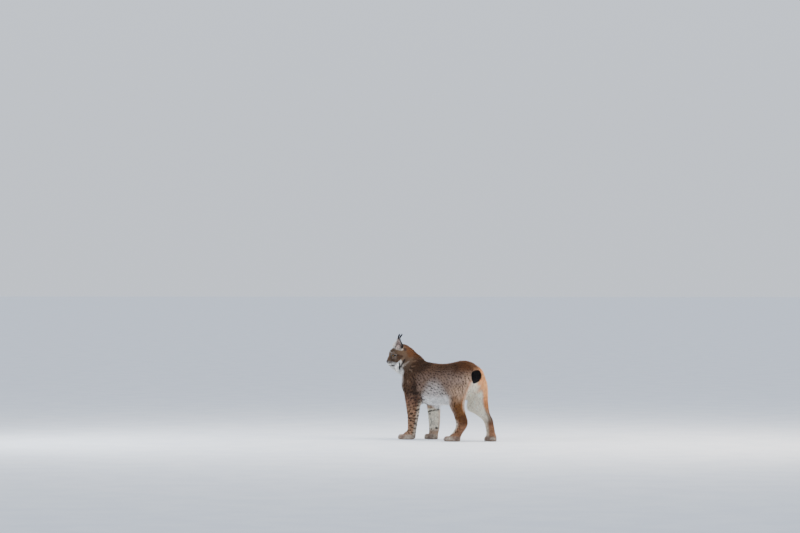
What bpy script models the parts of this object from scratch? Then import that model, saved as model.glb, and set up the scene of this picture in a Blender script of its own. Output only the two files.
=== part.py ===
"""Life-size Eurasian lynx in its winter coat, standing with its head turned to its left.

Metres, +Z up. The animal faces -X, its left side faces -Y, and its feet stand on z = 0.
The body is fused from lofts and ellipsoids, smoothed as one form, and parted by thin cuts.
"""
from math import cos, pi, radians, sin

import bmesh
import bpy
import numpy as np
from mathutils import Matrix, Vector
from mathutils.bvhtree import BVHTree

# Driving dimensions
SPINE_BEND = 0.50          # how fast the spine curves to the left away from the middle, 1/m
GAP = 0.0003               # clearance between neighbouring nodes
VOXEL = 0.0046             # grain of the fused body before it is thinned
SMOOTH_BODY = 30           # smoothing steps on the body
SMOOTH_TRUNK = 48          # further steps above the elbows and stifles
SMOOTH_FINE = 4            # smoothing steps on the head and feet
SIDES = 20                 # sides of a body loft
BODY_TRIANGLES = 7200      # of the fused body before it is parted

# Head: where its centre is, which way it looks, and how big it is against the plan below
HEAD_CENTRE = Vector((-0.4005, -0.0841, 0.7225))
HEAD_YAW = radians(224)    # direction of the muzzle in plan, measured from +X
HEAD_PITCH = radians(17)   # nose down
HEAD_SCALE = 1.18

# Eyes, in metres along the head's own axes: forward, to its left, up
EYE_RADIUS = 0.0145
EYE_PLACE = (0.034, 0.028, 0.0165)
EYE_TURN = radians(33)                # how far each eye looks outwards
EYE_DEPTH = 0.0116                    # from the face's surface in to the eye's centre
LID_THICKNESS = 0.0022
EYE_OPENING = (0.0130, 0.0086)        # half width and half height between the lids

# Ears, in the head's own axes before it is scaled
EAR_PLACE = (-0.008, 0.043, 0.062)
EAR_POSE = {1: (radians(4), radians(52)), -1: (radians(26), radians(44))}   # laid back, turned out
EAR_HEIGHT = 0.070
EAR_HALF_WIDTH = 0.036
EAR_WALL = 0.0036
EAR_COLUMNS = 8
EAR_TUFT_LENGTH = 0.038
EAR_TUFT_LOCKS = 5

# Ruff: locks hang from the cheek in rows, longest at the bottom
RUFF_ROWS = ((0.0, 7, 0.056), (0.5, 7, 0.062), (1.0, 7, 0.066))   # layer, locks, length
LOCK_WIDTH = 0.0290
LOCK_THICKNESS = 0.0130

# Torso stations: x, top, bottom, half width
TORSO = (
    (-0.380, 0.600, 0.440, 0.050),
    (-0.345, 0.645, 0.372, 0.086),
    (-0.290, 0.676, 0.330, 0.108),
    (-0.210, 0.683, 0.308, 0.118),
    (-0.120, 0.667, 0.299, 0.122),
    (-0.030, 0.659, 0.297, 0.125),
    (0.060, 0.664, 0.301, 0.125),
    (0.140, 0.678, 0.318, 0.119),
    (0.210, 0.690, 0.350, 0.114),
    (0.275, 0.686, 0.392, 0.110),
    (0.335, 0.662, 0.430, 0.096),
    (0.380, 0.618, 0.475, 0.062),
)

# Neck stations: x, y, z, half height across the neck, half width
NECK = (
    (-0.205, -0.018, 0.555, 0.112, 0.086),
    (-0.262, -0.036, 0.605, 0.111, 0.086),
    (-0.308, -0.050, 0.655, 0.114, 0.078),
    (-0.346, -0.058, 0.704, 0.096, 0.064),
)

# Leg stations: x, y, z, half depth fore and aft, half width
FORELEG_LEFT = (
    (-0.285, -0.080, 0.530, 0.080, 0.045),
    (-0.266, -0.098, 0.430, 0.085, 0.048),
    (-0.250, -0.102, 0.335, 0.079, 0.046),
    (-0.248, -0.101, 0.265, 0.066, 0.043),
    (-0.249, -0.099, 0.205, 0.056, 0.040),
    (-0.256, -0.097, 0.150, 0.049, 0.037),
    (-0.262, -0.096, 0.095, 0.042, 0.036),
    (-0.270, -0.095, 0.050, 0.041, 0.036),
    (-0.274, -0.095, 0.010, 0.043, 0.036),
)
FORELEG_RIGHT = (
    (-0.240, 0.046, 0.530, 0.078, 0.045),
    (-0.195, 0.062, 0.430, 0.082, 0.048),
    (-0.160, 0.068, 0.335, 0.074, 0.046),
    (-0.150, 0.068, 0.265, 0.063, 0.044),
    (-0.144, 0.067, 0.205, 0.060, 0.041),
    (-0.142, 0.066, 0.150, 0.056, 0.039),
    (-0.142, 0.066, 0.095, 0.051, 0.037),
    (-0.150, 0.067, 0.050, 0.043, 0.037),
    (-0.152, 0.067, 0.010, 0.043, 0.037),
)
HINDLEG_LEFT = (
    (0.280, -0.088, 0.590, 0.108, 0.045),
    (0.258, -0.112, 0.500, 0.126, 0.052),
    (0.236, -0.126, 0.415, 0.112, 0.053),
    (0.232, -0.134, 0.345, 0.092, 0.049),
    (0.244, -0.138, 0.285, 0.078, 0.044),
    (0.270, -0.140, 0.228, 0.070, 0.038),
    (0.288, -0.141, 0.178, 0.073, 0.035),
    (0.288, -0.143, 0.132, 0.063, 0.034),
    (0.258, -0.145, 0.085, 0.056, 0.034),
    (0.236, -0.146, 0.050, 0.050, 0.036),
    (0.222, -0.147, 0.010, 0.046, 0.037),
)
HINDLEG_RIGHT = (
    (0.305, 0.016, 0.590, 0.112, 0.045),
    (0.314, 0.040, 0.500, 0.130, 0.052),
    (0.315, 0.054, 0.420, 0.128, 0.052),
    (0.316, 0.058, 0.350, 0.122, 0.048),
    (0.317, 0.058, 0.300, 0.131, 0.046),
    (0.324, 0.058, 0.262, 0.131, 0.042),
    (0.356, 0.057, 0.238, 0.100, 0.038),
    (0.387, 0.056, 0.215, 0.081, 0.036),
    (0.417, 0.055, 0.190, 0.062, 0.034),
    (0.437, 0.054, 0.150, 0.049, 0.033),
    (0.451, 0.052, 0.100, 0.045, 0.034),
    (0.458, 0.050, 0.055, 0.043, 0.035),
    (0.460, 0.050, 0.010, 0.043, 0.036),
)

# Paws: heel x, y, direction in plan, length, half width
PAWS = {
    "forepaw_left": (-0.262, -0.095, radians(184), 0.126, 0.042),
    "forepaw_right": (-0.119, 0.067, radians(180), 0.112, 0.042),
    "hindpaw_left": (0.262, -0.146, radians(186), 0.130, 0.041),
    "hindpaw_right": (0.502, 0.050, radians(176), 0.097, 0.041),
}

# Tail stations: x, y, z, radius
TAIL = (
    (0.335, -0.056, 0.640, 0.034),
    (0.364, -0.068, 0.622, 0.035),
    (0.386, -0.078, 0.597, 0.040),
    (0.393, -0.084, 0.567, 0.047),
    (0.391, -0.087, 0.543, 0.044),
)
TAIL_TIP_STATION = 6       # the black tip starts at this ring of the smoothed tail
NOSE_TRIANGLES = 170

# Thin cuts that part the body: centre, normal, radius
CUTS = {
    "neck_to_torso": ((-0.287, -0.040, 0.598), (-0.70, -0.22, 0.68), 0.190),
    "elbow_left": ((-0.250, -0.102, 0.290), (-0.15, 0.0, 0.99), 0.092),
    "elbow_right": ((-0.152, 0.068, 0.290), (0.0, 0.0, 1.0), 0.086),
    "wrist_left": ((-0.270, -0.096, 0.098), (0.0, 0.0, 1.0), 0.070),
    "wrist_right": ((-0.150, 0.066, 0.098), (0.0, 0.0, 1.0), 0.070),
    "thigh_left": ((0.232, -0.134, 0.345), (-0.35, 0.0, 0.94), 0.118),
    "thigh_right": ((0.318, 0.058, 0.360), (-0.35, 0.0, 0.94), 0.140),
    "hock_left": ((0.284, -0.142, 0.140), (0.0, 0.0, 1.0), 0.072),
    "hock_right": ((0.446, 0.054, 0.140), (0.0, 0.0, 1.0), 0.070),
}
HEAD_CUT_BACK = 0.052      # the cut behind the head lies this far behind its centre
HEAD_CUT_TILT = radians(44)
HEAD_CUT_RADIUS = 0.190

# A point well inside each node of the parted body
INSIDE = {
    "torso": (0.0, 0.0, 0.480),
    "neck": (-0.330, -0.065, 0.670),
    "head": tuple(HEAD_CENTRE),
    "foreleg_left": (-0.252, -0.100, 0.200),
    "foreleg_right": (-0.150, 0.067, 0.200),
    "forepaw_left": (-0.300, -0.096, 0.040),
    "forepaw_right": (-0.168, 0.067, 0.040),
    "hindleg_left": (0.250, -0.140, 0.245),
    "hindleg_right": (0.370, 0.057, 0.260),
    "hindpaw_left": (0.235, -0.144, 0.060),
    "hindpaw_right": (0.455, 0.052, 0.060),
}

COLOURS = {
    "coat_flank": (0.33, 0.22, 0.14),
    "coat_leg": (0.47, 0.27, 0.13),
    "coat_nape": (0.30, 0.14, 0.06),
    "coat_pale": (0.62, 0.58, 0.52),
    "black_fur": (0.012, 0.010, 0.010),
    "nose_leather": (0.055, 0.030, 0.028),
    "eye": (0.40, 0.24, 0.06),
}
ROUGHNESS = {"eye": 0.1, "nose_leather": 0.45}
NODE_COLOURS = {
    "torso": "coat_flank",
    "head": "coat_flank",
    "neck": "coat_nape",
    "foreleg": "coat_leg",
    "hindleg": "coat_leg",
    "forepaw": "coat_leg",
    "hindpaw": "coat_leg",
    "ear": "coat_pale",
    "ruff": "coat_pale",
    "tail_tip": "black_fur",
    "tail": "coat_leg",
    "nose": "nose_leather",
    "eye": "eye",
}


def clear_scene():
    for obj in list(bpy.data.objects):
        bpy.data.objects.remove(obj)


def material(name, roughness=0.75):
    found = bpy.data.materials.get(name)
    if found:
        return found
    made = bpy.data.materials.new(name)
    made.use_nodes = True
    shader = made.node_tree.nodes["Principled BSDF"]
    shader.inputs["Base Color"].default_value = (*COLOURS[name], 1.0)
    shader.inputs["Roughness"].default_value = roughness
    shader.inputs["Metallic"].default_value = 0.0
    return made


def new_object(name, mesh, collection):
    obj = bpy.data.objects.new(name, mesh)
    collection.objects.link(obj)
    return obj


def object_from(name, bm, collection):
    bmesh.ops.recalc_face_normals(bm, faces=bm.faces)
    mesh = bpy.data.meshes.new(name)
    bm.to_mesh(mesh)
    bm.free()
    return new_object(name, mesh, collection)


def spine_y(x):
    """Sideways place of the spine: it curves to the left towards both ends."""
    return -SPINE_BEND * x * x


def head_matrix():
    return (
        Matrix.Translation(HEAD_CENTRE)
        @ Matrix.Rotation(HEAD_YAW, 4, "Z")
        @ Matrix.Rotation(HEAD_PITCH, 4, "Y")
        @ Matrix.Scale(HEAD_SCALE, 4)
    )


HEAD = head_matrix()


def add_loft(bm, rings, sides=SIDES, squareness=1.0):
    """Closed tube through rings of (centre, across, up), where across and up are half axes."""
    loops = []
    for centre, across, up in rings:
        loop = []
        for k in range(sides):
            turn = 2 * pi * k / sides
            c, s = cos(turn), sin(turn)
            a = abs(c) ** squareness * (1 if c > 0 else -1)
            b = abs(s) ** squareness * (1 if s > 0 else -1)
            loop.append(bm.verts.new(Vector(centre) + Vector(across) * a + Vector(up) * b))
        loops.append(loop)
    for low, high in zip(loops, loops[1:]):
        for k in range(sides):
            n = (k + 1) % sides
            bm.faces.new((low[k], low[n], high[n], high[k]))
    bm.faces.new(loops[0][::-1])
    bm.faces.new(loops[-1])


def add_ellipsoid(bm, matrix, centre, radii, segments=18):
    place = matrix @ Matrix.Translation(centre) @ Matrix.Diagonal((*radii, 1.0))
    bmesh.ops.create_uvsphere(
        bm, u_segments=segments, v_segments=segments // 2 + 2, radius=1.0, matrix=place
    )


def resample(stations, steps):
    """More stations on a smooth curve through the given ones."""
    rows = [np.array(row, float) for row in stations]
    rows = [2 * rows[0] - rows[1], *rows, 2 * rows[-1] - rows[-2]]
    made = []
    for before, a, b, after in zip(rows, rows[1:], rows[2:], rows[3:]):
        for k in range(steps):
            t = k / steps
            slope_a, slope_b = (b - before) / 2, (after - a) / 2
            made.append(
                (2 * t**3 - 3 * t**2 + 1) * a + (t**3 - 2 * t**2 + t) * slope_a
                + (3 * t**2 - 2 * t**3) * b + (t**3 - t**2) * slope_b
            )
    made.append(rows[-2])
    return [tuple(float(v) for v in row) for row in made]


def add_torso(bm):
    rings = []
    for x, top, bottom, half in resample(TORSO, 3):
        along = Vector((1.0, -2 * SPINE_BEND * x, 0.0)).normalized()
        across = Vector((-along.y, along.x, 0.0)) * half
        centre = (x, spine_y(x), (top + bottom) / 2)
        rings.append((centre, across, (0.0, 0.0, (top - bottom) / 2)))
    add_loft(bm, rings, squareness=0.86)


def add_neck(bm):
    rings = []
    stations = resample(NECK, 3)
    points = [Vector(s[:3]) for s in stations]
    for k, (x, y, z, deep, half) in enumerate(stations):
        ahead = points[min(k + 1, len(points) - 1)]
        behind = points[max(k - 1, 0)]
        along = (ahead - behind).normalized()
        across = along.cross(Vector((0.0, 0.0, 1.0))).normalized()
        up = across.cross(along).normalized()
        rings.append(((x, y, z), across * half, up * deep))
    add_loft(bm, rings)


def add_leg(bm, stations, turn):
    """A leg of level rings. turn is its plane's direction in plan."""
    fore = Vector((cos(turn), sin(turn), 0.0))
    side = Vector((-fore.y, fore.x, 0.0))
    rings = [(s[:3], side * s[4], fore * s[3]) for s in resample(stations, 3)]
    add_loft(bm, rings, sides=16)


def add_paw(bm, heel_x, heel_y, turn, length, half):
    """Broad furred foot: a low pad, an instep and four toes, the middle two the longest."""
    place = Matrix.Translation((heel_x, heel_y, 0.0)) @ Matrix.Rotation(turn, 4, "Z")
    add_ellipsoid(bm, place, (0.36 * length, 0.0, 0.018), (0.50 * length, 0.94 * half, 0.034))
    add_ellipsoid(bm, place, (0.28 * length, 0.0, 0.044), (0.38 * length, 0.82 * half, 0.034))
    for spread, reach in ((-0.74, 0.74), (-0.27, 0.87), (0.27, 0.87), (0.74, 0.74)):
        centre = (reach * length, spread * half, 0.018)
        add_ellipsoid(bm, place, centre, (0.25 * length, 0.31 * half, 0.032), segments=14)


def add_muscles(bm):
    """Shoulder blades, haunches and the folds of skin before the thighs."""
    level = Matrix.Identity(4)
    for side in (-1, 1):
        x = -0.250 if side < 0 else -0.232
        add_ellipsoid(bm, level, (x, spine_y(x) + side * 0.070, 0.560), (0.085, 0.048, 0.115))
        x = 0.272 if side < 0 else 0.296
        add_ellipsoid(bm, level, (x, spine_y(x) + side * 0.074, 0.540), (0.112, 0.052, 0.112))
    add_ellipsoid(bm, level, (-0.326, -0.060, 0.470), (0.055, 0.075, 0.095))
    add_ellipsoid(bm, level, (-0.335, -0.060, 0.738), (0.072, 0.056, 0.066))


def add_head(bm):
    """Short broad cat's head: brain case, brow, cheeks, muzzle, whisker pads and jaw."""
    add_ellipsoid(bm, HEAD, (-0.014, 0.0, 0.010), (0.082, 0.067, 0.074), 24)
    add_ellipsoid(bm, HEAD, (0.022, 0.0, 0.020), (0.056, 0.053, 0.050), 24)
    add_ellipsoid(bm, HEAD, (-0.030, 0.0, -0.030), (0.060, 0.062, 0.052), 24)
    for side in (-1, 1):
        add_ellipsoid(bm, HEAD, (-0.006, side * 0.034, 0.048), (0.044, 0.029, 0.027))
        add_ellipsoid(bm, HEAD, (0.006, side * 0.044, -0.020), (0.046, 0.032, 0.038))
        add_ellipsoid(bm, HEAD, (-0.010, side * 0.050, -0.048), (0.040, 0.026, 0.036))
        add_ellipsoid(bm, HEAD, (0.040, side * 0.029, 0.036), (0.025, 0.018, 0.009))
        add_ellipsoid(bm, HEAD, (0.084, side * 0.0170, -0.031), (0.024, 0.0185, 0.0180))
    muzzle = (
        (0.030, -0.014, 0.044, 0.040),
        (0.055, -0.016, 0.036, 0.034),
        (0.078, -0.021, 0.028, 0.027),
        (0.094, -0.023, 0.023, 0.020),
        (0.103, -0.023, 0.015, 0.014),
    )
    bridge = (
        (0.045, 0.026, 0.026, 0.020),
        (0.070, 0.014, 0.019, 0.017),
        (0.088, 0.002, 0.015, 0.014),
        (0.102, -0.009, 0.013, 0.010),
    )
    jaw = (
        (-0.030, -0.056, 0.050, 0.024),
        (0.020, -0.060, 0.040, 0.021),
        (0.060, -0.059, 0.027, 0.016),
        (0.084, -0.057, 0.020, 0.013),
        (0.095, -0.055, 0.013, 0.009),
    )
    throat = (
        (0.088, -0.056, 0.017, 0.012),
        (0.063, -0.080, 0.032, 0.026),
        (0.038, -0.105, 0.042, 0.037),
        (0.008, -0.130, 0.052, 0.046),
    )
    turn = HEAD.to_3x3()
    for plan in (muzzle, bridge, jaw, throat):
        rings = [
            (HEAD @ Vector((f, 0.0, u)), turn @ Vector((0.0, half, 0.0)), turn @ Vector((0.0, 0.0, deep)))
            for f, u, half, deep in resample(plan, 2)
        ]
        add_loft(bm, rings, sides=16)


def evaluated_mesh(obj):
    graph = bpy.context.evaluated_depsgraph_get()
    return bpy.data.meshes.new_from_object(obj.evaluated_get(graph))


def apply_modifiers(obj):
    bpy.context.view_layer.update()
    mesh = evaluated_mesh(obj)
    obj.modifiers.clear()
    old = obj.data
    obj.data = mesh
    bpy.data.meshes.remove(old)


def islands(bm):
    """The connected pieces of a mesh, as lists of faces."""
    left = set(bm.faces)
    found = []
    while left:
        grow = [left.pop()]
        piece = []
        while grow:
            face = grow.pop()
            piece.append(face)
            for edge in face.edges:
                for other in edge.link_faces:
                    if other in left:
                        left.remove(other)
                        grow.append(other)
        found.append(piece)
    return found


def volume_of(faces):
    total = 0.0
    for face in faces:
        a = face.verts[0].co
        for b, c in zip(face.verts[1:], face.verts[2:]):
            total += a.dot(b.co.cross(c.co)) / 6
    return total


def keep_largest(obj):
    """Keeps the largest closed surface, which drops scraps and fills sealed hollows."""
    bm = bmesh.new()
    bm.from_mesh(obj.data)
    pieces = sorted(islands(bm), key=lambda piece: volume_of(piece), reverse=True)
    for piece in pieces[1:]:
        bmesh.ops.delete(bm, geom=piece, context="FACES")
    loose = [v for v in bm.verts if not v.link_faces]
    bmesh.ops.delete(bm, geom=loose, context="VERTS")
    bm.to_mesh(obj.data)
    bm.free()


def boolean(obj, others, operation):
    """One Boolean with a collection of closed meshes, applied, with the others then removed."""
    group = bpy.data.collections.new("cutters")
    bpy.context.scene.collection.children.link(group)
    for other in others:
        for owner in list(other.users_collection):
            owner.objects.unlink(other)
        group.objects.link(other)
        other.hide_render = True
        other.display_type = "WIRE"
    step = obj.modifiers.new("join", "BOOLEAN")
    step.operation = operation
    step.operand_type = "COLLECTION"
    step.collection = group
    for solver in ("MANIFOLD", "EXACT"):
        step.solver = solver
        bpy.context.view_layer.update()
        mesh = evaluated_mesh(obj)
        if mesh.polygons:
            break
    obj.modifiers.clear()
    old = obj.data
    obj.data = mesh
    bpy.data.meshes.remove(old)
    for other in others:
        bpy.data.objects.remove(other)
    bpy.data.collections.remove(group)


def grown_copy(obj, helpers, by=GAP):
    """A copy of a closed body that is larger by the gap on every side."""
    bm = bmesh.new()
    bm.from_mesh(obj.data)
    bm.normal_update()
    for vert in bm.verts:
        vert.co += vert.normal * by * vert.calc_shell_factor()
    return object_from(obj.name + "_grown", bm, helpers)


def detail_at(point):
    """1 on the head and feet, where small forms stay crisp, and 0 on the body."""
    head = 1 - min(max(((point - (HEAD @ Vector((0.045, 0.0, -0.01)))).length - 0.085) / 0.04, 0.0), 1.0)
    foot = 1 - min(max((point.z - 0.06) / 0.03, 0.0), 1.0)
    return max(head, foot)


def fused_body(helpers):
    """The whole animal but its ears, tail, nose, ruff and eyes, as one smooth closed mesh."""
    bm = bmesh.new()
    add_torso(bm)
    add_neck(bm)
    add_muscles(bm)
    add_leg(bm, FORELEG_LEFT, radians(4))
    add_leg(bm, FORELEG_RIGHT, radians(4))
    add_leg(bm, HINDLEG_LEFT, radians(-12))
    add_leg(bm, HINDLEG_RIGHT, radians(-12))
    for heel_x, heel_y, turn, length, half in PAWS.values():
        add_paw(bm, heel_x, heel_y, turn, length, half)
    add_head(bm)
    body = object_from("body", bm, helpers)
    remesh = body.modifiers.new("fuse", "REMESH")
    remesh.mode = "VOXEL"
    remesh.voxel_size = VOXEL
    apply_modifiers(body)
    fine = body.vertex_groups.new(name="fine")
    coarse = body.vertex_groups.new(name="coarse")
    trunk = body.vertex_groups.new(name="trunk")
    for vert in body.data.vertices:
        detail = detail_at(vert.co)
        fine.add([vert.index], detail, "REPLACE")
        coarse.add([vert.index], 1.0 - detail, "REPLACE")
        above = min(max((vert.co.z - 0.34) / 0.05, 0.0), 1.0)
        trunk.add([vert.index], above * (1.0 - detail), "REPLACE")
    for group, steps in (("coarse", SMOOTH_BODY), ("fine", SMOOTH_FINE), ("trunk", SMOOTH_TRUNK)):
        smooth = body.modifiers.new("soften", "SMOOTH")
        smooth.factor = 0.5
        smooth.iterations = steps
        smooth.vertex_group = group
    apply_modifiers(body)
    thin = body.modifiers.new("thin", "DECIMATE")
    thin.ratio = BODY_TRIANGLES / (2 * len(body.data.polygons))
    apply_modifiers(body)
    keep_largest(body)
    return body


def cut_soles(body, helpers):
    """Flattens everything that reaches the floor at one level."""
    bm = bmesh.new()
    bmesh.ops.create_cube(bm, size=2.0, matrix=Matrix.Translation((0.0, 0.0, -1.0)))
    boolean(body, [object_from("floor", bm, helpers)], "DIFFERENCE")


def disc(name, centre, normal, radius, helpers):
    bm = bmesh.new()
    turn = Vector(normal).normalized().to_track_quat("Z", "Y").to_matrix().to_4x4()
    bmesh.ops.create_cone(
        bm, cap_ends=True, segments=40, radius1=radius, radius2=radius, depth=GAP,
        matrix=Matrix.Translation(centre) @ turn,
    )
    return object_from(name, bm, helpers)


def part_body(body, part, helpers):
    """Cuts the body by thin discs and names what falls apart."""
    discs = [disc(name, *spec, helpers) for name, spec in CUTS.items()]
    centre = HEAD @ Vector((-HEAD_CUT_BACK, 0.0, -0.010))
    normal = HEAD.to_3x3() @ Vector((cos(HEAD_CUT_TILT), 0.0, sin(HEAD_CUT_TILT)))
    discs.append(disc("head_to_neck", centre, normal, HEAD_CUT_RADIUS, helpers))
    boolean(body, discs, "DIFFERENCE")
    return named_pieces(body, INSIDE, part)


def named_pieces(body, inside, part):
    """Makes a node of each separate piece of a body, named by the nearest of the given points."""
    bm = bmesh.new()
    bm.from_mesh(body.data)
    pieces = [p for p in islands(bm) if volume_of(p) > 1e-6]
    nodes = {}
    for piece in pieces:
        verts = {v for face in piece for v in face.verts}
        middle = sum((v.co for v in verts), Vector()) / len(verts)
        name = min(inside, key=lambda n: (Vector(inside[n]) - middle).length)
        copy = bmesh.new()
        index = {v: copy.verts.new(v.co) for v in verts}
        for face in piece:
            copy.faces.new([index[v] for v in face.verts])
        mesh = bpy.data.meshes.new(name)
        copy.to_mesh(mesh)
        copy.free()
        if name in nodes:
            raise RuntimeError(f"two pieces are nearest to {name}")
        nodes[name] = new_object(name, mesh, part)
    bm.free()
    bpy.data.objects.remove(body)
    missing = set(inside) - set(nodes)
    if missing:
        raise RuntimeError(f"no cut freed {sorted(missing)}")
    return nodes


def path_frames(points, face):
    """For each point of a path: its direction, a side that lies in the face, and the face's normal."""
    frames = []
    for k in range(len(points)):
        along = (points[min(k + 1, len(points) - 1)] - points[max(k - 1, 0)]).normalized()
        side = along.cross(face).normalized()
        frames.append((along, side, side.cross(along).normalized()))
    return frames


def add_tube(bm, points, radius, face, sides=8):
    """A round cord along a path, thinned to a point-like end at both tips."""
    rings = []
    for k, (point, (along, side, out)) in enumerate(zip(points, path_frames(points, face))):
        size = radius * (0.35 if k in (0, len(points) - 1) else 1.0)
        rings.append((point, side * size, out * size))
    add_loft(bm, rings, sides)


def add_lock(bm, root, direction, bend, length, width, thickness, face):
    """A flat lock of hair: it swells a little past its root, bends, and tapers to its tip."""
    plan = ((0.0, 0.74), (0.32, 1.0), (0.66, 0.68), (0.90, 0.30), (1.0, 0.08))
    points = [root + direction * (length * t) + bend * (length * t * t) for t, _ in plan]
    rings = []
    for (t, share), point, (along, side, out) in zip(plan, points, path_frames(points, face)):
        rings.append((point, side * (width * share / 2), out * (thickness * share / 2)))
    add_loft(bm, rings, 6)


def head_point(forward, side, up):
    return HEAD @ Vector((forward, side, up))


def head_direction(forward, side, up):
    return (HEAD.to_3x3() @ Vector((forward, side, up))).normalized()


def surface_point(tree, origin, direction):
    """Where a ray first meets a surface."""
    hit = tree.ray_cast(origin, direction)[0]
    if hit is None:
        raise RuntimeError("a ray missed the head")
    return hit


def eye_places(tree):
    """For each eye: its name, its centre and the way it looks."""
    places = []
    for name, side in (("eye_left", 1), ("eye_right", -1)):
        look = head_direction(cos(EYE_TURN), side * sin(EYE_TURN), 0.05)
        near = head_point(EYE_PLACE[0], side * EYE_PLACE[1], EYE_PLACE[2])
        skin = surface_point(tree, near + look * 0.1, -look)
        places.append((name, side, skin - look * EYE_DEPTH, look))
    return places


def ball(name, centre, radius, look, helpers, segments=16):
    """A sphere whose pole points where the eye looks."""
    bm = bmesh.new()
    turn = look.to_track_quat("Z", "Y").to_matrix().to_4x4()
    bmesh.ops.create_uvsphere(
        bm, u_segments=segments, v_segments=segments // 2, radius=radius,
        matrix=Matrix.Translation(centre) @ turn,
    )
    return object_from(name, bm, helpers)


def lid_opening(side, centre, look, helpers):
    """A spindle along the eye's axis, with its inner corner lower and drawn out."""
    up = head_direction(0.0, 0.0, 1.0)
    across = look.cross(up).normalized()
    up = across.cross(look).normalized()
    tilt = radians(14) * side
    across, up = across * cos(tilt) + up * sin(tilt), up * cos(tilt) - across * sin(tilt)
    wide, high = EYE_OPENING
    outline = []
    for k in range(24):
        turn = 2 * pi * k / 24
        outline.append((wide * cos(turn), high * sin(turn) * abs(sin(turn)) ** 0.35))
    bm = bmesh.new()
    loops = []
    for depth in (0.004, EYE_RADIUS * 2.2):
        loops.append([bm.verts.new(centre + look * depth + across * a + up * b) for a, b in outline])
    for k in range(24):
        n = (k + 1) % 24
        bm.faces.new((loops[0][k], loops[0][n], loops[1][n], loops[1][k]))
    bm.faces.new(loops[0][::-1])
    bm.faces.new(loops[1])
    bmesh.ops.remove_doubles(bm, verts=bm.verts, dist=1e-6)
    return object_from("opening", bm, helpers)


def mouth_points(tree, side):
    """The line of the mouth on the skin, from under the nose back to its corner."""
    points = []
    for forward, up in ((0.101, -0.039), (0.093, -0.045), (0.081, -0.050), (0.068, -0.050), (0.057, -0.046)):
        origin = head_point(forward, side * 0.12, up)
        out = head_direction(0.0, side, 0.0)
        points.append(surface_point(tree, origin, -out) - out * 0.0024)
    return points


def finish_head(head, helpers):
    """Adds lids and lips to the head, opens the eyes and the mouth, and sets the eyes in."""
    tree = BVHTree.FromPolygons([v.co for v in head.data.vertices], [p.vertices for p in head.data.polygons])
    places = eye_places(tree)
    lines = [mouth_points(tree, side) for side in (1, -1)]
    front = surface_point(tree, head_point(0.2, 0.0, -0.040), head_direction(-1.0, 0.0, 0.0))
    seam = lines[0][::-1] + [front] + lines[1]
    lips = bmesh.new()
    add_tube(lips, seam, 0.0040, head_direction(0.0, 0.0, 1.0))
    added = [object_from("lips", lips, helpers)]
    for name, side, centre, look in places:
        added.append(ball("lid", centre, EYE_RADIUS + LID_THICKNESS, look, helpers))
    boolean(head, added, "UNION")
    groove = bmesh.new()
    middle = head_point(0.060, 0.0, -0.045)
    outer = [point + (point - middle).normalized() * 0.0034 for point in seam]
    add_tube(groove, outer, 0.0022, head_direction(0.0, 0.0, 1.0))
    taken = [object_from("mouth", groove, helpers)]
    parting = bmesh.new()
    add_tube(parting, [front, head_point(0.104, 0.0, -0.028)], 0.0018, head_direction(1.0, 0.0, 0.0))
    taken.append(object_from("parting", parting, helpers))
    for name, side, centre, look in places:
        taken.append(ball("socket", centre, EYE_RADIUS + GAP, look, helpers))
        taken.append(lid_opening(side, centre, look, helpers))
    boolean(head, taken, "DIFFERENCE")
    keep_largest(head)
    return places


def make_nose(head, part, helpers):
    """Leather of the nose: broad above, narrow below, with a nostril in each side."""
    bm = bmesh.new()
    add_ellipsoid(bm, HEAD, (0.101, 0.0, -0.011), (0.0098, 0.0125, 0.0074), 20)
    add_ellipsoid(bm, HEAD, (0.102, 0.0, -0.019), (0.0085, 0.0075, 0.0085), 16)
    for side in (-1, 1):
        add_ellipsoid(bm, HEAD, (0.099, side * 0.0092, -0.0145), (0.0085, 0.0054, 0.0062), 14)
    nose = object_from("nose", bm, part)
    remesh = nose.modifiers.new("fuse", "REMESH")
    remesh.mode = "VOXEL"
    remesh.voxel_size = 0.0016
    smooth = nose.modifiers.new("soften", "SMOOTH")
    smooth.factor = 0.5
    smooth.iterations = 4
    apply_modifiers(nose)
    thin = nose.modifiers.new("thin", "DECIMATE")
    thin.ratio = NOSE_TRIANGLES / (2 * len(nose.data.polygons))
    apply_modifiers(nose)
    holes = bmesh.new()
    for side in (-1, 1):
        add_ellipsoid(holes, HEAD, (0.1085, side * 0.0070, -0.0150), (0.0060, 0.0030, 0.0026), 12)
    boolean(nose, [object_from("nostrils", holes, helpers)], "DIFFERENCE")
    boolean(nose, [grown_copy(head, helpers)], "DIFFERENCE")
    keep_largest(nose)
    return nose


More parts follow.
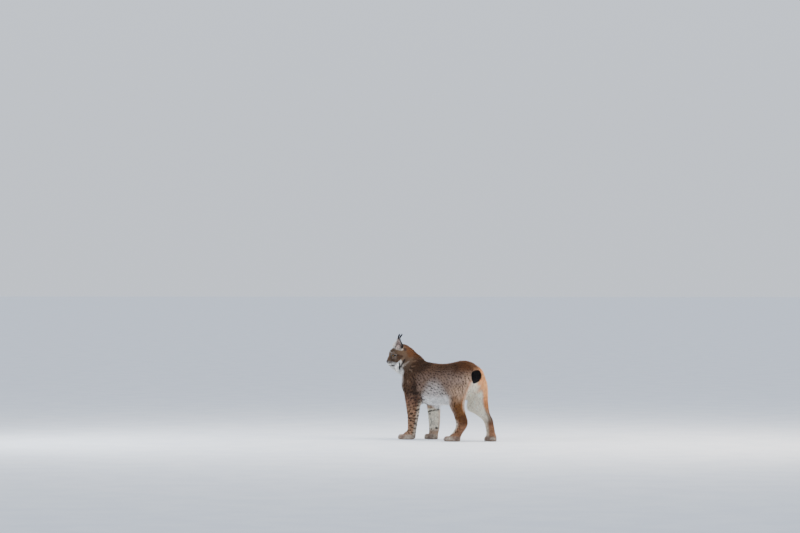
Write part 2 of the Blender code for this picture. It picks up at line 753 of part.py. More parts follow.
def ear_surface(side, wall):
    """Points of the ear's cup, tip last. wall is how far inside its back they lie."""
    back, turn_out = EAR_POSE[side]
    lean = Matrix.Rotation(side * radians(-14), 3, "X") @ Matrix.Rotation(-back, 3, "Y")
    open_to = Matrix.Rotation(side * turn_out, 3, "Z")
    rows = []
    for v in (-0.22, 0.0, 0.25, 0.48, 0.70, 0.86, 0.95):
        half = EAR_HALF_WIDTH * (1.0 - max(v, 0.0) ** 1.7) ** 0.8 * (1.0 + 1.2 * min(v, 0.0)) + 0.0015
        curl = radians(104) - radians(46) * max(v, 0.0)
        radius = half / sin(min(curl, pi / 2))
        row = []
        for k in range(EAR_COLUMNS + 1):
            turn = curl * (2 * k / EAR_COLUMNS - 1)
            out = radius - wall
            flat = Vector((-out * cos(turn) + radius * 0.35, out * sin(turn), v * EAR_HEIGHT))
            flat.x -= 0.10 * EAR_HEIGHT * v * v
            flat = lean @ (open_to @ flat)
            flat.y -= side * 0.05 * max(0.20 - v, 0.0)
            row.append(flat)
        rows.append(row)
    place = Vector((EAR_PLACE[0], side * EAR_PLACE[1], EAR_PLACE[2]))
    return [[HEAD @ (place + point) for point in row] for row in rows]


def make_ear(name, side, head, part, helpers):
    """A thin cup of skin open to the front and the outside, with a tuft at its tip."""
    back = ear_surface(side, 0.0)
    front = ear_surface(side, EAR_WALL)
    bm = bmesh.new()
    shell = [[[bm.verts.new(p) for p in row] for row in rows] for rows in (back, front)]
    outer, inner = shell
    last = len(outer) - 1
    for rows in shell:
        for low, high in zip(rows, rows[1:]):
            for k in range(EAR_COLUMNS):
                bm.faces.new((low[k], low[k + 1], high[k + 1], high[k]))
    for k in range(EAR_COLUMNS):
        bm.faces.new((outer[0][k], outer[0][k + 1], inner[0][k + 1], inner[0][k]))
        bm.faces.new((outer[last][k], outer[last][k + 1], inner[last][k + 1], inner[last][k]))
    for k in (0, EAR_COLUMNS):
        for r in range(last):
            bm.faces.new((outer[r][k], outer[r + 1][k], inner[r + 1][k], inner[r][k]))
    ear = object_from(name, bm, part)
    boolean(ear, [grown_copy(head, helpers)], "DIFFERENCE")
    keep_largest(ear)
    tip = sum(back[last], Vector()) / len(back[last])
    rise = (tip - sum(back[3], Vector()) / len(back[3])).normalized()
    rear = head_direction(-1.0, 0.0, -0.15)
    locks = []
    for k in range(EAR_TUFT_LOCKS):
        swing = 2 * pi * k / EAR_TUFT_LOCKS
        spread = head_direction(0.0, cos(swing), 0.0) * 0.08 + rear * (0.14 + 0.07 * sin(swing))
        length = EAR_TUFT_LENGTH * (1.0 + 0.16 * cos(2.4 * k))
        root = tip - rise * 0.010 + spread * 0.020
        lock = bmesh.new()
        add_lock(lock, root, (rise + spread).normalized(), rear * 0.36, length, 0.0124, 0.0066, rear)
        locks.append(object_from("lock", lock, helpers))
    boolean(ear, locks, "UNION")
    keep_largest(ear)
    return ear


def ruff_root(tree, side, turn, row):
    """Where a lock leaves the skin: turn runs from below the ear forward to the throat."""
    forward = -0.030 + 0.082 * turn - 0.012 * row
    up = 0.008 - 0.060 * turn - 0.014 * row * (1.0 - 0.6 * turn)
    out = head_direction(0.0, side, 0.0)
    hit = tree.ray_cast(head_point(forward, side * 0.16, up), -out)[0]
    return hit - out * 0.002 if hit else head_point(forward, side * 0.045, up)


def make_ruff(name, side, hosts, part, helpers):
    """Side whiskers: rows of flat bent locks that overlap down the cheek."""
    head = hosts[0]
    tree = BVHTree.FromPolygons([v.co for v in head.data.vertices], [p.vertices for p in head.data.polygons])
    locks = []
    for row, count, length in RUFF_ROWS:
        for k in range(count):
            turn = (k + 0.5 * row) / count
            down = head_direction(-0.18 + 0.14 * turn, side * (0.62 - 0.40 * turn), -0.76 - 0.12 * turn)
            face = head_direction(-0.25 + 0.40 * turn, side * 0.90, 0.35 - 0.25 * turn)
            bend = head_direction(0.10, -side * 0.35, -0.80) * 0.24
            size = length * (0.85 + 0.20 * turn) * (1.0 + 0.10 * cos(5.3 * k + 2.1 * row))
            root = ruff_root(tree, side, turn, row) - down * 0.010
            lock = bmesh.new()
            add_lock(lock, root, down, bend, size, LOCK_WIDTH, LOCK_THICKNESS, face)
            locks.append(object_from("lock", lock, helpers))
    ruff = locks.pop(0)
    boolean(ruff, locks, "UNION")
    for host in hosts:
        boolean(ruff, [grown_copy(host, helpers)], "DIFFERENCE")
    keep_largest(ruff)
    helpers.objects.unlink(ruff)
    part.objects.link(ruff)
    ruff.name = name
    ruff.data.name = name
    return ruff


def make_tail(torso, part, helpers):
    """Short bobbed tail that hangs from the croup, with its black tip as a node of its own."""
    bm = bmesh.new()
    stations = resample(TAIL, 3)
    points = [Vector(s[:3]) for s in stations]
    frames = path_frames(points, Vector((0.0, 1.0, 0.0)))
    rings = [(p, side * s[3], out * s[3]) for p, s, (along, side, out) in zip(points, stations, frames)]
    end = points[-1]
    along, side, out = frames[-1]
    for step, share in ((0.016, 0.86), (0.028, 0.60), (0.034, 0.28)):
        rings.append((end + along * step, side * (TAIL[-1][3] * share), out * (TAIL[-1][3] * share)))
    add_loft(bm, rings, 18)
    tail = object_from("tail_form", bm, helpers)
    boolean(tail, [grown_copy(torso, helpers)], "DIFFERENCE")
    keep_largest(tail)
    tip_cut = disc("tip", points[TAIL_TIP_STATION], frames[TAIL_TIP_STATION][0], 0.075, helpers)
    boolean(tail, [tip_cut], "DIFFERENCE")
    return named_pieces(tail, {"tail": tuple(points[4]), "tail_tip": tuple(points[-1])}, part)


def colour_nodes(nodes):
    for name, node in nodes.items():
        paint = next(NODE_COLOURS[key] for key in NODE_COLOURS if name.startswith(key))
        node.data.materials.clear()
        node.data.materials.append(material(paint, ROUGHNESS.get(paint, 0.75)))
        for face in node.data.polygons:
            face.material_index = 0


def stand_at_origin(nodes):
    """Moves the part so that its box is centred over the origin, with its soles at z = 0."""
    corners = np.array([v.co for node in nodes.values() for v in node.data.vertices])
    middle = (corners.min(axis=0) + corners.max(axis=0)) / 2
    shift = Matrix.Translation((-middle[0], -middle[1], 0.0))
    for node in nodes.values():
        node.data.transform(shift)
        node.data.update()


def main():
    clear_scene()
    scene = bpy.context.scene.collection
    part = bpy.data.collections.new("eurasian_lynx")
    helpers = bpy.data.collections.new("cutters_and_guides")
    scene.children.link(part)
    scene.children.link(helpers)
    body = fused_body(helpers)
    cut_soles(body, helpers)
    nodes = part_body(body, part, helpers)
    head, neck, torso = nodes["head"], nodes["neck"], nodes["torso"]
    places = finish_head(head, helpers)
    for name, side, centre, look in places:
        nodes[name] = ball(name, centre, EYE_RADIUS, look, part)
    nodes["nose"] = make_nose(head, part, helpers)
    for name, side in (("left", 1), ("right", -1)):
        nodes[f"ear_{name}"] = make_ear(f"ear_{name}", side, head, part, helpers)
        nodes[f"ruff_{name}"] = make_ruff(f"ruff_{name}", side, (head, neck, torso), part, helpers)
    nodes.update(make_tail(torso, part, helpers))
    colour_nodes(nodes)
    stand_at_origin(nodes)


main()
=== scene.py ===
"""The looks of a standing Eurasian lynx in winter coat: skin, fur, face, ears and studio."""

from collections import namedtuple
from itertools import product
from math import cos, pi, radians, sin, sqrt

import bmesh
import bpy
import numpy as np
from mathutils import Matrix, Vector, noise
from mathutils.bvhtree import BVHTree
from mathutils.kdtree import KDTree


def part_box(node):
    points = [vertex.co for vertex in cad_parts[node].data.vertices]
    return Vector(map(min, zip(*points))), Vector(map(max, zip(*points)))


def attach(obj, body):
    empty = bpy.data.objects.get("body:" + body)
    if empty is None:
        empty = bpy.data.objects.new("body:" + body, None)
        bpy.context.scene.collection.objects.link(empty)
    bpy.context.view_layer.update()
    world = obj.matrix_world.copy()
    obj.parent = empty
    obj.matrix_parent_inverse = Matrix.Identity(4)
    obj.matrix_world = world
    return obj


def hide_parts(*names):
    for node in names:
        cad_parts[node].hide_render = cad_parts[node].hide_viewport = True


ASKEW = Vector((0.31, 0.17, 0.94))   # a way that no cord runs along

# The head's own axes: forward along the muzzle, the animal's left, and up. HEAD_SCALE turns lengths
# along them, the head's units, into metres
HEAD_CENTRE = Vector((-0.4005, -0.0841, 0.7225))
HEAD_YAW = radians(224)
HEAD_PITCH = radians(17)
HEAD_SCALE = 1.18
LEFT_EYE_DRAWN = Vector((-0.41297, -0.15558, 0.72587))   # tells how far the part was moved

# Eyes
EYE_RADIUS = 0.0145
EYE_TURN = radians(33)        # how far each eye looks outwards
EYE_SLACK = 0.012             # the share by which the ball is smaller than the solid's
CORNEA_BULGE = 0.0011         # how far the front of the ball stands out
LID_PROUD = 0.0014            # how far the lids stand over the eyeball
SKIN_BEHIND = 0.0022          # how far the skin is pressed in behind the opening
LID_MARGIN = 0.0022           # bare skin beside the opening
LID_RIM = 0.00125             # radius of the dark rim
OPENING = (0.0124, 0.0060)    # half width and half height between the lids
OPENING_TILT = radians(14)    # the inner corner lies lower

# The line of the lips: degrees round from the front, about an upright line inside the muzzle that
# lies this far forward, and the height there, in the head's units
MOUTH_FORWARD = 0.070
MOUTH = (
    (0, -0.0385), (18, -0.0425), (38, -0.0470), (58, -0.0505), (76, -0.0535), (93, -0.0550),
    (108, -0.0535),
)

# Ears, in the head's units
EAR_PLACE = (-0.008, 0.043, 0.062)
EAR_POSE = {1: (radians(4), radians(52)), -1: (radians(26), radians(44))}   # laid back, turned out
EAR_HEIGHT = 0.070
EAR_HALF_WIDTH = 0.036
EAR_BACK_DEPTH = 0.0012       # from the ear's outline to the back of its cup
EAR_INSIDE_DEPTH = 0.00336    # and to the inside of its cup
EAR_TUFT_LENGTH = 0.038
EAR_TUFT_HAIRS = 210

# Skin
FLESH = (
    "torso", "neck", "head", "foreleg_left", "foreleg_right", "forepaw_left", "forepaw_right",
    "hindleg_left", "hindleg_right", "hindpaw_left", "hindpaw_right", "tail", "tail_tip",
)
SKIN_GRAIN = 0.0056           # size of the skin's faces
FACE_REACH = 0.105            # finer skin within this distance of the middle of the face
EYE_REACH = 0.027             # and finer still round each eye
TOE_REACHES = (0.054, 0.034)  # finer, and finer still, round each paw's toes
TOE_FURROW = 0.0062           # how deep the skin is pressed in between the toes
SKIN_LOWEST = 0.0004          # the skin stays this far above the floor

# Coat of each part: depth of the fur, length and width of a tuft, its lift from the skin in degrees,
# and how many tufts overlap at any place
COAT = {
    "torso": (0.0120, 0.0260, 0.0021, 25, 3.0),
    "neck": (0.0120, 0.0250, 0.0019, 26, 3.4),
    "head": (0.0050, 0.0130, 0.0019, 22, 3.0),
    "foreleg": (0.0050, 0.0140, 0.0020, 19, 2.7),
    "hindleg": (0.0055, 0.0150, 0.0020, 19, 2.7),
    "forepaw": (0.0026, 0.0078, 0.0014, 16, 2.6),
    "hindpaw": (0.0026, 0.0078, 0.0014, 16, 2.6),
    "tail_tip": (0.0080, 0.0200, 0.0018, 44, 3.4),
    "tail": (0.0090, 0.0220, 0.0020, 24, 3.2),
}
NOSE_COAT = (0.0016, 0.0050, 0.0012)   # depth of the fur, and length and width of a tuft, by the nose
TRUNK_SHARE = 0.74            # the share of its tufts that the trunk and neck grow
COAT_LOWEST = 0.0003          # the coat stays this far above the floor
UV_PATCH = 0.003              # size of a tuft's patch on the unwrap
SEED = 11

# The coat's pieces, one for each of these regions of the skin
REGIONS = (
    "face", "crown", "neck_left", "neck_right", "fore_trunk_left", "fore_trunk_right", "hind_trunk_left",
    "hind_trunk_right", "foreleg_left", "foreleg_right", "hindleg_left", "hindleg_right", "tail", "tail_tip",
)

# Spots: the least distance between two, their half length and half width, and how far each is felt
SPOT_GAP = 0.0184
SPOT_HALF = (0.0072, 0.0054)
SPOT_REACH = 0.028

# Ruff, seen from the head's side, in the head's units: places are (forward, up)
RUFF_EDGE = ((-0.032, -0.054), (0.013, -0.0735))   # a pale edge
RUFF_STREAKS = (                                   # black, each with its two ends and half width
    ((-0.013, -0.036), (0.013, -0.058), 0.0060),
    ((0.013, -0.058), (0.025, -0.078), 0.0048),
    ((0.029, -0.046), (0.033, -0.074), 0.0044),
    ((0.033, -0.074), (0.037, -0.095), 0.0058),
)

# Camera: the photograph is 800 x 533 pixels
PIXEL = 0.0086                # metres to a pixel at the animal
IMAGE = (800, 533)
ORIGIN_PIXEL = (441.63, 440.0)   # where the part's origin lies in the photograph
VIEW_AZIMUTH = radians(35)
VIEW_ELEVATION = radians(2)
CAMERA_DISTANCE = 24.0        # metres
SENSOR = 36.0                 # width in millimetres


def srgb(red, green, blue):
    """Linear colour from 0 to 255 screen values."""
    return tuple(((c / 255 + 0.055) / 1.055) ** 2.4 if c > 10 else c / 3294.6 for c in (red, green, blue))


# Colours of the coat
BACK = srgb(98, 71, 53)
RUMP = srgb(106, 70, 45)
FLANK_FORE = srgb(137, 113, 98)
FLANK_HIND = srgb(181, 154, 136)
LOW_FLANK = srgb(220, 212, 207)
BELLY = srgb(243, 242, 240)
WITHERS = srgb(60, 41, 28)
SHOULDER = srgb(96, 71, 54)
CHEST_EDGE = srgb(196, 184, 172)
NAPE = srgb(100, 60, 29)
FORELEG = srgb(180, 139, 108)
FORELEG_TOP = srgb(146, 108, 86)
LEG_INNER = srgb(248, 240, 221)
HAUNCH = srgb(203, 170, 143)
THIGH = srgb(126, 83, 46)
THIGH_FRONT = srgb(164, 139, 122)
HOCK = srgb(94, 58, 35)
SHIN = srgb(151, 108, 79)
# The buttocks' orange, brightened by painted warm sunlight on the right, and painted sunlight brighter still
# high on the right buttock
BUTTOCK_ORANGE_AND_SUNLIGHT = srgb(230, 153, 95)
BUTTOCK_PAINTED_SUNLIGHT = srgb(255, 190, 132)
TAIL = srgb(190, 140, 104)
TOES = srgb(132, 114, 103)
SPOT = srgb(38, 25, 19)
BLACK = srgb(17, 13, 16)
FACE = srgb(101, 81, 64)
FACE_PALE = srgb(212, 205, 196)
MUZZLE = srgb(238, 236, 232)
PAD = srgb(104, 94, 86)
BRIDGE = srgb(122, 94, 72)
STREAK = srgb(52, 37, 30)
CHEEK_BROWN = srgb(74, 52, 36)
UNDER_EYE = srgb(134, 114, 98)
EAR_INSIDE = srgb(214, 190, 180)
EAR_BACK = srgb(34, 29, 29)
EAR_BACK_PATCH = srgb(176, 164, 152)

# Stripes on each side of the face: colour, two ends in the head's units, half width and share
FACE_STRIPES = (
    (CHEEK_BROWN, (0.032, 0.060, 0.002), (0.004, 0.070, -0.014), 0.014, 0.85),
    (FACE_PALE, (0.024, 0.040, 0.062), (-0.011, 0.061, 0.043), 0.0088, 0.78),
    (FACE_PALE, (0.056, 0.018, 0.036), (0.042, 0.026, 0.036), 0.0060, 0.7),
    (UNDER_EYE, (0.062, 0.032, 0.000), (0.044, 0.050, -0.002), 0.0085, 0.9),
    (STREAK, (0.062, 0.024, 0.016), (0.074, 0.020, -0.002), 0.0034, 0.8),
    (STREAK, (0.070, 0.028, -0.011), (0.060, 0.036, -0.014), 0.0040, 0.55),
    (STREAK, (0.050, 0.040, 0.020), (0.020, 0.062, 0.007), 0.0038, 0.85),
    (STREAK, (0.020, 0.062, 0.007), (-0.004, 0.072, -0.012), 0.0034, 0.55),
    (STREAK, (-0.035, 0.059, 0.038), (-0.037, 0.060, 0.032), 0.0088, 1.0),
)


# Node helpers

class Socket:
    """An output of a node that can stand in a Python expression: each operation adds a node."""

    def __init__(self, graph, out):
        self.graph = graph
        self.out = out

    def wide(self):
        return self.out.type in ("VECTOR", "RGBA")

    def work(self, operation, a, b):
        if any(isinstance(v, Socket) and v.wide() for v in (a, b)) or isinstance(b, tuple):
            one_number = not (isinstance(b, tuple) or (isinstance(b, Socket) and b.wide()))
            if operation == "MULTIPLY" and one_number:
                return self.graph.node("ShaderNodeVectorMath", {0: a, "Scale": b}, operation="SCALE")
            return self.graph.node("ShaderNodeVectorMath", {0: a, 1: b}, operation=operation)
        return self.graph.node("ShaderNodeMath", {0: a, 1: b}, operation=operation)

    def __add__(self, other):
        return self.work("ADD", self, other)

    def __sub__(self, other):
        return self.work("SUBTRACT", self, other)

    def __rsub__(self, other):
        return self.work("SUBTRACT", other, self)

    def __mul__(self, other):
        return self.work("MULTIPLY", self, other)

    def __truediv__(self, other):
        return self.work("DIVIDE", self, other)

    def __pow__(self, other):
        return self.work("POWER", self, other)

    __radd__ = __add__
    __rmul__ = __mul__

    def ramp(self, low, high, start=0.0, end=1.0):
        """Runs from start at low to end at high, with soft ends."""
        spread = {"Value": self, "From Min": low, "From Max": high, "To Min": start, "To Max": end}
        return self.graph.node("ShaderNodeMapRange", spread, interpolation_type="SMOOTHSTEP")

    def mix(self, a, b):
        """Colour a where this is 0, and b where it is 1."""
        return self.graph.node("ShaderNodeMix", {0: self, 6: a, 7: b}, output=2, data_type="RGBA")


class Graph:
    """A node tree that nodes are added to."""

    def __init__(self, tree):
        self.tree = tree

    def node(self, kind, inputs=None, output=0, **settings):
        """Adds a node with its settings, then its values or links, and returns one output."""
        made = self.tree.nodes.new(kind)
        for key, value in settings.items():
            setattr(made, key, value)
        for key, value in (inputs or {}).items():
            if isinstance(value, Socket):
                self.tree.links.new(value.out, made.inputs[key])
            elif made.inputs[key].type == "RGBA" and len(value) == 3:
                made.inputs[key].default_value = (*value, 1.0)
            else:
                made.inputs[key].default_value = value
        return Socket(self, made.outputs[output])

    def attribute(self, name, output="Fac"):
        return self.node("ShaderNodeAttribute", output=output, attribute_name=name)


def finish_of(name, paint, **constants):
    """A material: paint(graph) gives the sockets that change over the surface."""
    material = bpy.data.materials.new(name)
    material.use_nodes = True
    graph = Graph(material.node_tree)
    shader = material.node_tree.nodes["Principled BSDF"]
    for key, value in constants.items():
        shader.inputs[key.replace("_", " ")].default_value = value
    for key, value in paint(graph).items():
        material.node_tree.links.new(value.out, shader.inputs[key])
    return material


# Materials

def coat_paint(graph):
    """Hair: darker at its root, a little different in each tuft, with fine strands along it."""
    base = graph.attribute("coat", "Color")
    along = graph.attribute("along")
    shade = graph.attribute("shade")
    place = graph.attribute("strand", "Vector")
    strands = graph.node("ShaderNodeTexNoise", {"Vector": place, "Scale": 1.0, "Detail": 2.0})
    light = along.ramp(0.0, 0.7, 0.62, 1.12) * (shade * 0.40 + 0.84) * strands.ramp(0.3, 0.7, 0.86, 1.14)
    bump = graph.node("ShaderNodeBump", {"Height": strands, "Strength": 0.35, "Distance": 0.0006})
    return {"Base Color": base * light, "Normal": bump}


def skin_paint(graph):
    """Under the tufts: the same markings, darker, with a nap of short hair."""
    base = graph.attribute("coat", "Color")
    where = graph.node("ShaderNodeTexCoord", output="Object")
    nap = graph.node("ShaderNodeTexNoise", {"Vector": where, "Scale": 420.0, "Detail": 3.0})
    bump = graph.node("ShaderNodeBump", {"Height": nap, "Strength": 0.5, "Distance": 0.0008})
    return {"Base Color": base * nap.ramp(0.3, 0.7, 0.62, 0.92), "Normal": bump}


def eye_paint(graph):
    """Amber iris with radial fibres and a dark rim, a round pupil, and a brown white of the eye."""
    angle = graph.attribute("from_pole")
    turn = graph.attribute("spoke", "Vector")
    fibres = graph.node("ShaderNodeTexNoise", {"Vector": turn, "Scale": 3.0, "Detail": 4.0})
    iris = fibres.ramp(0.3, 0.7).mix(srgb(100, 66, 25), srgb(164, 121, 54))
    iris = angle.ramp(0.34, 0.22).mix(iris, srgb(118, 86, 38))
    iris = angle.ramp(0.60, 0.72).mix(iris, srgb(48, 28, 10))
    seen = angle.ramp(0.74, 0.80).mix(iris, srgb(50, 34, 26))
    return {"Base Color": angle.ramp(0.245, 0.275).mix(srgb(3, 3, 4), seen)}


def leather_paint(graph):
    """Pebbled leather of the nose, dark pinkish brown, with painted shade in the nostrils, darker still."""
    where = graph.node("ShaderNodeTexCoord", output="Object")
    cells = graph.node("ShaderNodeTexVoronoi", {"Vector": where, "Scale": 900.0})
    mottle = graph.node("ShaderNodeTexNoise", {"Vector": where, "Scale": 160.0, "Detail": 3.0})
    bump = graph.node("ShaderNodeBump", {"Height": cells, "Strength": 0.35, "Distance": 0.0004})
    colour = mottle.ramp(0.35, 0.65).mix(srgb(34, 26, 27), srgb(60, 44, 43))
    # Painted shade in the nostrils
    colour = graph.attribute("nostril").mix(colour, srgb(12, 8, 8))
    return {"Base Color": colour, "Roughness": mottle.ramp(0.3, 0.7, 0.34, 0.5), "Normal": bump}


def lip_paint(graph):
    """Bare dark skin of the lips and the lids' margins."""
    where = graph.node("ShaderNodeTexCoord", output="Object")
    mottle = graph.node("ShaderNodeTexNoise", {"Vector": where, "Scale": 300.0, "Detail": 2.0})
    return {"Base Color": mottle.ramp(0.35, 0.65).mix(srgb(22, 17, 16), srgb(44, 32, 29))}


def whisker_paint(graph):
    """White hair, greyer at its root."""
    along = graph.attribute("along")
    return {"Base Color": along.ramp(0.0, 0.3).mix(srgb(150, 140, 128), srgb(240, 238, 232))}


def floor_paint(graph):
    """A plain pale floor with a faint grain."""
    where = graph.node("ShaderNodeTexCoord", output="Object")
    grain = graph.node("ShaderNodeTexNoise", {"Vector": where, "Scale": 3.0, "Detail": 3.0})
    return {"Base Color": grain.ramp(0.3, 0.7).mix(srgb(222, 226, 232), srgb(230, 233, 237))}


def make_finishes():
    return {
        "coat": finish_of("tufted_coat", coat_paint, Roughness=0.78, Specular_IOR_Level=0.16,
                          Sheen_Weight=0.05, Sheen_Roughness=0.5),
        "skin": finish_of("skin_under_coat", skin_paint, Roughness=0.9, Specular_IOR_Level=0.1),
        "eye": finish_of("amber_eye", eye_paint, Roughness=0.25, Specular_IOR_Level=0.05, Coat_Weight=0.25,
                         Coat_Roughness=0.02),
        "leather": finish_of("nose_leather", leather_paint, Specular_IOR_Level=0.3),
        "lip": finish_of("dark_lip", lip_paint, Roughness=0.42),
        "whisker": finish_of("whisker_hair", whisker_paint, Roughness=0.4),
        "floor": finish_of("pale_floor", floor_paint, Roughness=0.85),
    }


# Meshes

def new_piece(name, mesh):
    piece = bpy.data.objects.new(name, mesh)
    bpy.context.scene.collection.objects.link(piece)
    return piece


def mesh_from(name, bm):
    mesh = bpy.data.meshes.new(name)
    bm.to_mesh(mesh)
    bm.free()
    return mesh


def evaluated(piece):
    """The piece's mesh with its modifiers applied. The piece goes."""
    bpy.context.view_layer.update()
    graph = bpy.context.evaluated_depsgraph_get()
    mesh = bpy.data.meshes.new_from_object(piece.evaluated_get(graph))
    bpy.data.objects.remove(piece)
    return mesh


def smooth_piece(name, mesh, material):
    """A piece of one material that is shaded smooth."""
    for face in mesh.polygons:
        face.use_smooth = True
    mesh.materials.clear()
    mesh.materials.append(material)
    return new_piece(name, mesh)


def closed_mesh(name, bm):
    """A smooth mesh of closed shells with their faces outwards."""
    bmesh.ops.recalc_face_normals(bm, faces=bm.faces)
    for face in bm.faces:
        face.smooth = True
    return mesh_from(name, bm)


def closed_piece(name, bm, material):
    return smooth_piece(name, closed_mesh(name, bm), material)


def join_rings(bm, rings):
    """Faces round a tube, between each ring of vertices and the next."""
    sides = len(rings[0])
    for low, high in zip(rings, rings[1:]):
        for k in range(sides):
            bm.faces.new((low[k], low[(k + 1) % sides], high[(k + 1) % sides], high[k]))


def join_rows(bm, rows):
    """Faces over a sheet, between each row of vertices and the next."""
    for low, high in zip(rows, rows[1:]):
        for k in range(len(low) - 1):
            bm.faces.new((low[k], low[k + 1], high[k + 1], high[k]))


def rows_of(items, field, width, kind=float):
    """One property of all the points or edges of a mesh, a row for each."""
    flat = np.empty(len(items) * width, kind)
    items.foreach_get(field, flat)
    return flat.reshape(-1, width)


def places_of(mesh):
    return rows_of(mesh.vertices, "co", 3)


def normals_of(mesh):
    return rows_of(mesh.vertex_normals, "vector", 3)


def vectors_of(mesh, name):
    return rows_of(mesh.attributes[name].data, "vector", 3)


def edges_of(mesh):
    return rows_of(mesh.edges, "vertices", 2, np.int32)


def move_to(mesh, places):
    mesh.vertices.foreach_set("co", places.astype(np.float32).ravel())
    mesh.update()


def spread(values, edges, steps, share=0.5):
    """Evens out values over a mesh, each vertex towards the mean of its neighbours."""
    values = np.array(values, float)
    count = len(values)
    ends = np.concatenate((edges[:, 0], edges[:, 1]))
    others = np.concatenate((edges[:, 1], edges[:, 0]))
    degree = np.maximum(np.bincount(ends, minlength=count), 1)
    flat = values.reshape(count, -1)
    for _ in range(steps):
        for column in range(flat.shape[1]):
            mean = np.bincount(ends, weights=flat[others, column], minlength=count) / degree
            flat[:, column] += share * (mean - flat[:, column])
    return flat.reshape(values.shape)


def store(mesh, name, kind, values):
    """Writes one attribute of the points of a mesh, over the one it may have by that name."""
    layer = mesh.attributes.get(name) or mesh.attributes.new(name, kind, "POINT")
    field = {"FLOAT": "value", "INT": "value", "FLOAT_VECTOR": "vector", "FLOAT_COLOR": "color"}[kind]
    values = np.asarray(values)
    if kind == "FLOAT_COLOR":
        values = np.concatenate((values, np.ones((len(values), 1))), axis=1)
    layer.data.foreach_set(field, values.astype(np.int32 if kind == "INT" else np.float32).ravel())


def step(low, high, values):
    """0 below low, 1 above high, smooth between. It falls instead where low is above high."""
    t = np.clip((values - low) / (high - low), 0.0, 1.0)
    return t * t * (3 - 2 * t)


def mixed(base, colour, share):
    """From base where the share is 0 to the colour where it is 1."""
    return np.asarray(base) * (1 - share[:, None]) + np.asarray(colour) * share[:, None]


def layered(ground, layers):
    """Values with others laid over them in turn, each by its share."""
    for values, share in layers:
        ground = mixed(ground, values, share)
    return ground


def lengths(vectors):
    return np.linalg.norm(vectors, axis=1)


def unit(vectors):
    return vectors / np.maximum(np.linalg.norm(vectors, axis=-1, keepdims=True), 1e-9)


def along_surface(ways, normals):
    """The ways laid flat on a surface, each of length 1."""
    return unit(ways - normals * np.sum(ways * normals, axis=1, keepdims=True))


def wave(places, size, seed):
    """Smooth noise from -1 to 1 with waves of about the given size."""
    shift = Vector((7.1, 3.7, 5.3)) * seed
    return np.array([noise.noise(Vector(p) / size + shift) for p in places])


def search_tree(points):
    """Finds which of the points lies nearest to a place."""
    tree = KDTree(len(points))
    for k, point in enumerate(points):
        tree.insert(Vector(point), k)
    tree.balance()
    return tree


# The head's axes

def head_matrix():
    lo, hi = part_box("eye_left")
    moved = (lo + hi) / 2 - LEFT_EYE_DRAWN
    return (
        Matrix.Translation(HEAD_CENTRE + moved)
        @ Matrix.Rotation(HEAD_YAW, 4, "Z")
        @ Matrix.Rotation(HEAD_PITCH, 4, "Y")
        @ Matrix.Scale(HEAD_SCALE, 4)
    )


def head_local(places):
    """Columns forward, side and up of places in the head's units."""
    back = np.array(HEAD.inverted())
    return places @ back[:3, :3].T + back[:3, 3]


def head_point(forward, side, up):
    return HEAD @ Vector((forward, side, up))


def head_direction(forward, side, up):
    return (HEAD.to_3x3() @ Vector((forward, side, up))).normalized()


Eye = namedtuple("Eye", "name side centre look across up")


def eyes():
    """Both eyes, each with its centre and the ways it looks, across its opening and up it."""
    found = []
    for name, side in (("eye_left", 1), ("eye_right", -1)):
        lo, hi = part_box(name)
        look = head_direction(cos(EYE_TURN), side * sin(EYE_TURN), 0.05)
        across = look.cross(head_direction(0.0, 0.0, 1.0)).normalized()
        up = across.cross(look).normalized()
        tilt = OPENING_TILT * side
        across, up = across * cos(tilt) + up * sin(tilt), up * cos(tilt) - across * sin(tilt)
        found.append(Eye(name, side, (lo + hi) / 2, look, across, up))
    return found


def from_eye(eye, places):
    """Offsets of places from an eye's centre, and how far they lie across it, up it and ahead."""
    offset = places - np.array(eye.centre)
    return offset, offset @ np.array(eye.across), offset @ np.array(eye.up), offset @ np.array(eye.look)


# Skin

def merged_copy(node, by):
    """A bmesh of a node with its triangles joined, grown by a little."""
    bm = bmesh.new()
    bm.from_mesh(node.data)
    bmesh.ops.remove_doubles(bm, verts=bm.verts, dist=1e-5)
    bm.normal_update()
    for vert in bm.verts:
        vert.co += vert.normal * by
    return bm


def fused_flesh(frame):
    """One closed mesh of all the flesh, with the eyes' hollows filled."""
    whole = bmesh.new()
    for name in FLESH:
        bm = merged_copy(frame["nodes"][name], 0.0006)
        whole.from_mesh(mesh_from(name, bm))
    for eye in eyes():
        bmesh.ops.create_uvsphere(
            whole, u_segments=24, v_segments=14, radius=EYE_RADIUS + LID_PROUD,
            matrix=Matrix.Translation(eye.centre),
        )
    piece = new_piece("flesh", mesh_from("flesh", whole))
    remesh = piece.modifiers.new("fuse", "REMESH")
    remesh.mode = "VOXEL"
    remesh.voxel_size = SKIN_GRAIN
    return evaluated(piece)


def refine(mesh, centre, reach):
    """Splits each face that lies near a place into four."""
    bm = bmesh.new()
    bm.from_mesh(mesh)
    near = {v for v in bm.verts if (v.co - centre).length < reach}
    edges = [e for e in bm.edges if e.verts[0] in near and e.verts[1] in near]
    bmesh.ops.subdivide_edges(bm, edges=edges, cuts=1, use_grid_fill=True)
    bm.to_mesh(mesh)
    bm.free()


def node_labels(frame, names, places):
    """For each place, the index of the named node whose surface is nearest."""
    points = []
    faces = []
    owner = []
    for index, name in enumerate(names):
        mesh = frame["nodes"][name].data
        start = len(points)
        points.extend(v.co for v in mesh.vertices)
        faces.extend([start + i for i in p.vertices] for p in mesh.polygons)
        owner.extend([index] * len(mesh.polygons))
    tree = BVHTree.FromPolygons(points, faces)
    return np.array([owner[tree.find_nearest(Vector(p))[2]] for p in places])


def coat_of(name):
    """The coat's row for a node, by the start of its name."""
    return COAT[next(key for key in COAT if name.startswith(key))]


